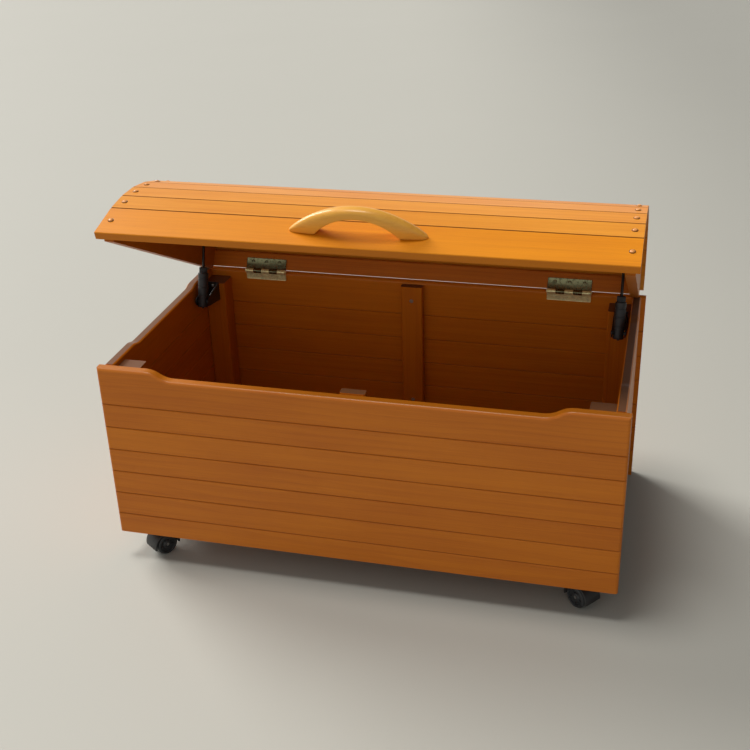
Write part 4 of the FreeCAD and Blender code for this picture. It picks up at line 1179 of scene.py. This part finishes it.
class ToyBoxSizes(bpy.types.PropertyGroup):
    handle_length: size("Handle length", "Length of the bow handle over its tips", 0.214)
    handle_height: size("Handle height", "Height of the bow above the slat", 0.046)
    handle_width: size("Handle width", "Width of the bow at its middle", 0.022)
    handle_opening: size("Finger opening", "Length of the arch under the bow", 0.130)
    handle_opening_height: size("Finger height", "Height of the arch under the bow", 0.031)
    plug_diameter: size("Button diameter", "Diameter of the buttons over the slat screws", 0.0096)
    hinge_length: size("Hinge length", "Length of each butt hinge", 0.078)
    hinge_knuckles: IntProperty(name="Hinge knuckles", description="Knuckles of each hinge",
                                default=5, min=3, max=9)
    rod_shows: size("Rod end", "Length of rod that shows below a stay's head", 0.0025)
    wheel_diameter: size("Wheel diameter", "Diameter of the caster wheels", 0.038)
    wheel_width: size("Wheel width", "Width of each caster wheel", 0.014)


class ToyBoxColours(bpy.types.PropertyGroup):
    honey: colour("Honey wood", "Lighter tone of the varnished boards", (0.630, 0.190, 0.007))
    umber: colour("Umber grain", "Darker tone of the grain", (0.400, 0.092, 0.004))
    # Painted shade: the dull colour of the top edges of sides, posts and battens.
    dust_and_top_shade: colour("Dust", "Dull top edges of sides, posts and battens", (0.115, 0.055, 0.030))
    # Painted light: the slats are lighter and yellower than the chest's honey, as the lid stands
    # in the overhead light; the other slats are paler still, a painted reflection.
    front_slat: colour("Front slat", "Lighter tone of the lid's front slat", (0.770, 0.275, 0.006))
    slat_light: colour("Slat wood", "Lighter tone of the lid's other slats", (0.760, 0.310, 0.030))
    slat_dark: colour("Slat grain", "Darker tone of the slats", (0.530, 0.140, 0.004))
    # Painted highlight: the handle's tones are lighter and yellower than the chest's wood.
    handle_light: colour("Handle wood", "Lighter tone of the bow handle", (0.830, 0.430, 0.060))
    handle_dark: colour("Handle grain", "Darker tone of the bow handle", (0.620, 0.240, 0.030))
    plug_light: colour("Button wood", "Lighter tone of the buttons", (0.830, 0.370, 0.100))
    plug_dark: colour("Button grain", "Darker tone of the buttons", (0.600, 0.200, 0.040))
    brass: colour("Brass", "Plated brass of the hinges", (0.880, 0.860, 0.460))
    steel: colour("Zinc", "Plated steel of screws, studs and plates", (0.520, 0.520, 0.500))
    dark_steel: colour("Dark steel", "Blackened steel of the stay rods", (0.055, 0.052, 0.050))
    black: colour("Black", "Black paint and plastic", (0.018, 0.018, 0.019))
    wheel: colour("Wheel", "Plastic of the caster wheels", (0.022, 0.023, 0.025))
    floor: colour("Floor", "Studio floor", (0.440, 0.434, 0.395))


class TOYBOX_OT_stage(bpy.types.Operator):
    """Set up the floor, the studio lamps and the camera"""

    bl_idname = "toy_box.stage"
    bl_label = "Studio stage"

    def execute(self, context):
        make_stage(context.scene)
        return {"FINISHED"}


class TOYBOX_OT_chest(bpy.types.Operator):
    """Varnish the panels, posts, battens, cleats and bottom of the chest"""

    bl_idname = "toy_box.chest"
    bl_label = "Chest boards"

    def execute(self, context):
        make_chest()
        return {"FINISHED"}


class TOYBOX_OT_lid(bpy.types.Operator):
    """Varnish the slats, end boards and rail of the lid"""

    bl_idname = "toy_box.lid"
    bl_label = "Lid boards"

    def execute(self, context):
        make_lid()
        return {"FINISHED"}


class TOYBOX_OT_plugs(bpy.types.Operator):
    """Make the wooden buttons over the slat screws"""

    bl_idname = "toy_box.plugs"
    bl_label = "Slat buttons"

    def execute(self, context):
        make_plugs(context.scene)
        return {"FINISHED"}


class TOYBOX_OT_handle(bpy.types.Operator):
    """Make the bow handle and its screws"""

    bl_idname = "toy_box.handle"
    bl_label = "Bow handle"

    def execute(self, context):
        make_handle(context.scene)
        return {"FINISHED"}


class TOYBOX_OT_hinges(bpy.types.Operator):
    """Make the brass hinges with their pins and screws"""

    bl_idname = "toy_box.hinges"
    bl_label = "Hinges"

    def execute(self, context):
        make_hinges(context.scene)
        return {"FINISHED"}


class TOYBOX_OT_stays(bpy.types.Operator):
    """Make the friction stays"""

    bl_idname = "toy_box.stays"
    bl_label = "Lid stays"

    def execute(self, context):
        make_stays(context.scene)
        return {"FINISHED"}


class TOYBOX_OT_casters(bpy.types.Operator):
    """Make the twin-wheel casters"""

    bl_idname = "toy_box.casters"
    bl_label = "Casters"

    def execute(self, context):
        make_casters(context.scene)
        return {"FINISHED"}


OPERATORS = (TOYBOX_OT_stage, TOYBOX_OT_chest, TOYBOX_OT_lid, TOYBOX_OT_plugs, TOYBOX_OT_handle,
             TOYBOX_OT_hinges, TOYBOX_OT_stays, TOYBOX_OT_casters)


class TOYBOX_PT_panel(bpy.types.Panel):
    """Sizes, colours and pieces of the toy box"""

    bl_idname = "TOYBOX_PT_panel"
    bl_label = "Toy Box"
    bl_space_type = "VIEW_3D"
    bl_region_type = "UI"
    bl_category = "Toy Box"

    def draw(self, context):
        layout = self.layout
        for title, group in (("Sizes", context.scene.toy_box_sizes),
                             ("Colours", context.scene.toy_box_colours)):
            box = layout.box()
            box.label(text=title)
            for name in group.__annotations__:
                box.prop(group, name)
        box = layout.box()
        box.label(text="Pieces")
        for operator in OPERATORS:
            box.operator(operator.bl_idname, text=operator.bl_label)


CLASSES = (ToyBoxSizes, ToyBoxColours, *OPERATORS, TOYBOX_PT_panel)


def register():
    for entry in CLASSES:
        bpy.utils.register_class(entry)
    bpy.types.Scene.toy_box_sizes = PointerProperty(type=ToyBoxSizes)
    bpy.types.Scene.toy_box_colours = PointerProperty(type=ToyBoxColours)


def unregister():
    del bpy.types.Scene.toy_box_colours
    del bpy.types.Scene.toy_box_sizes
    for entry in reversed(CLASSES):
        bpy.utils.unregister_class(entry)


def main():
    register()
    for name in ("stage", "chest", "lid", "plugs", "handle", "hinges", "stays", "casters"):
        getattr(bpy.ops.toy_box, name)()


if __name__ == "__main__":
    main()
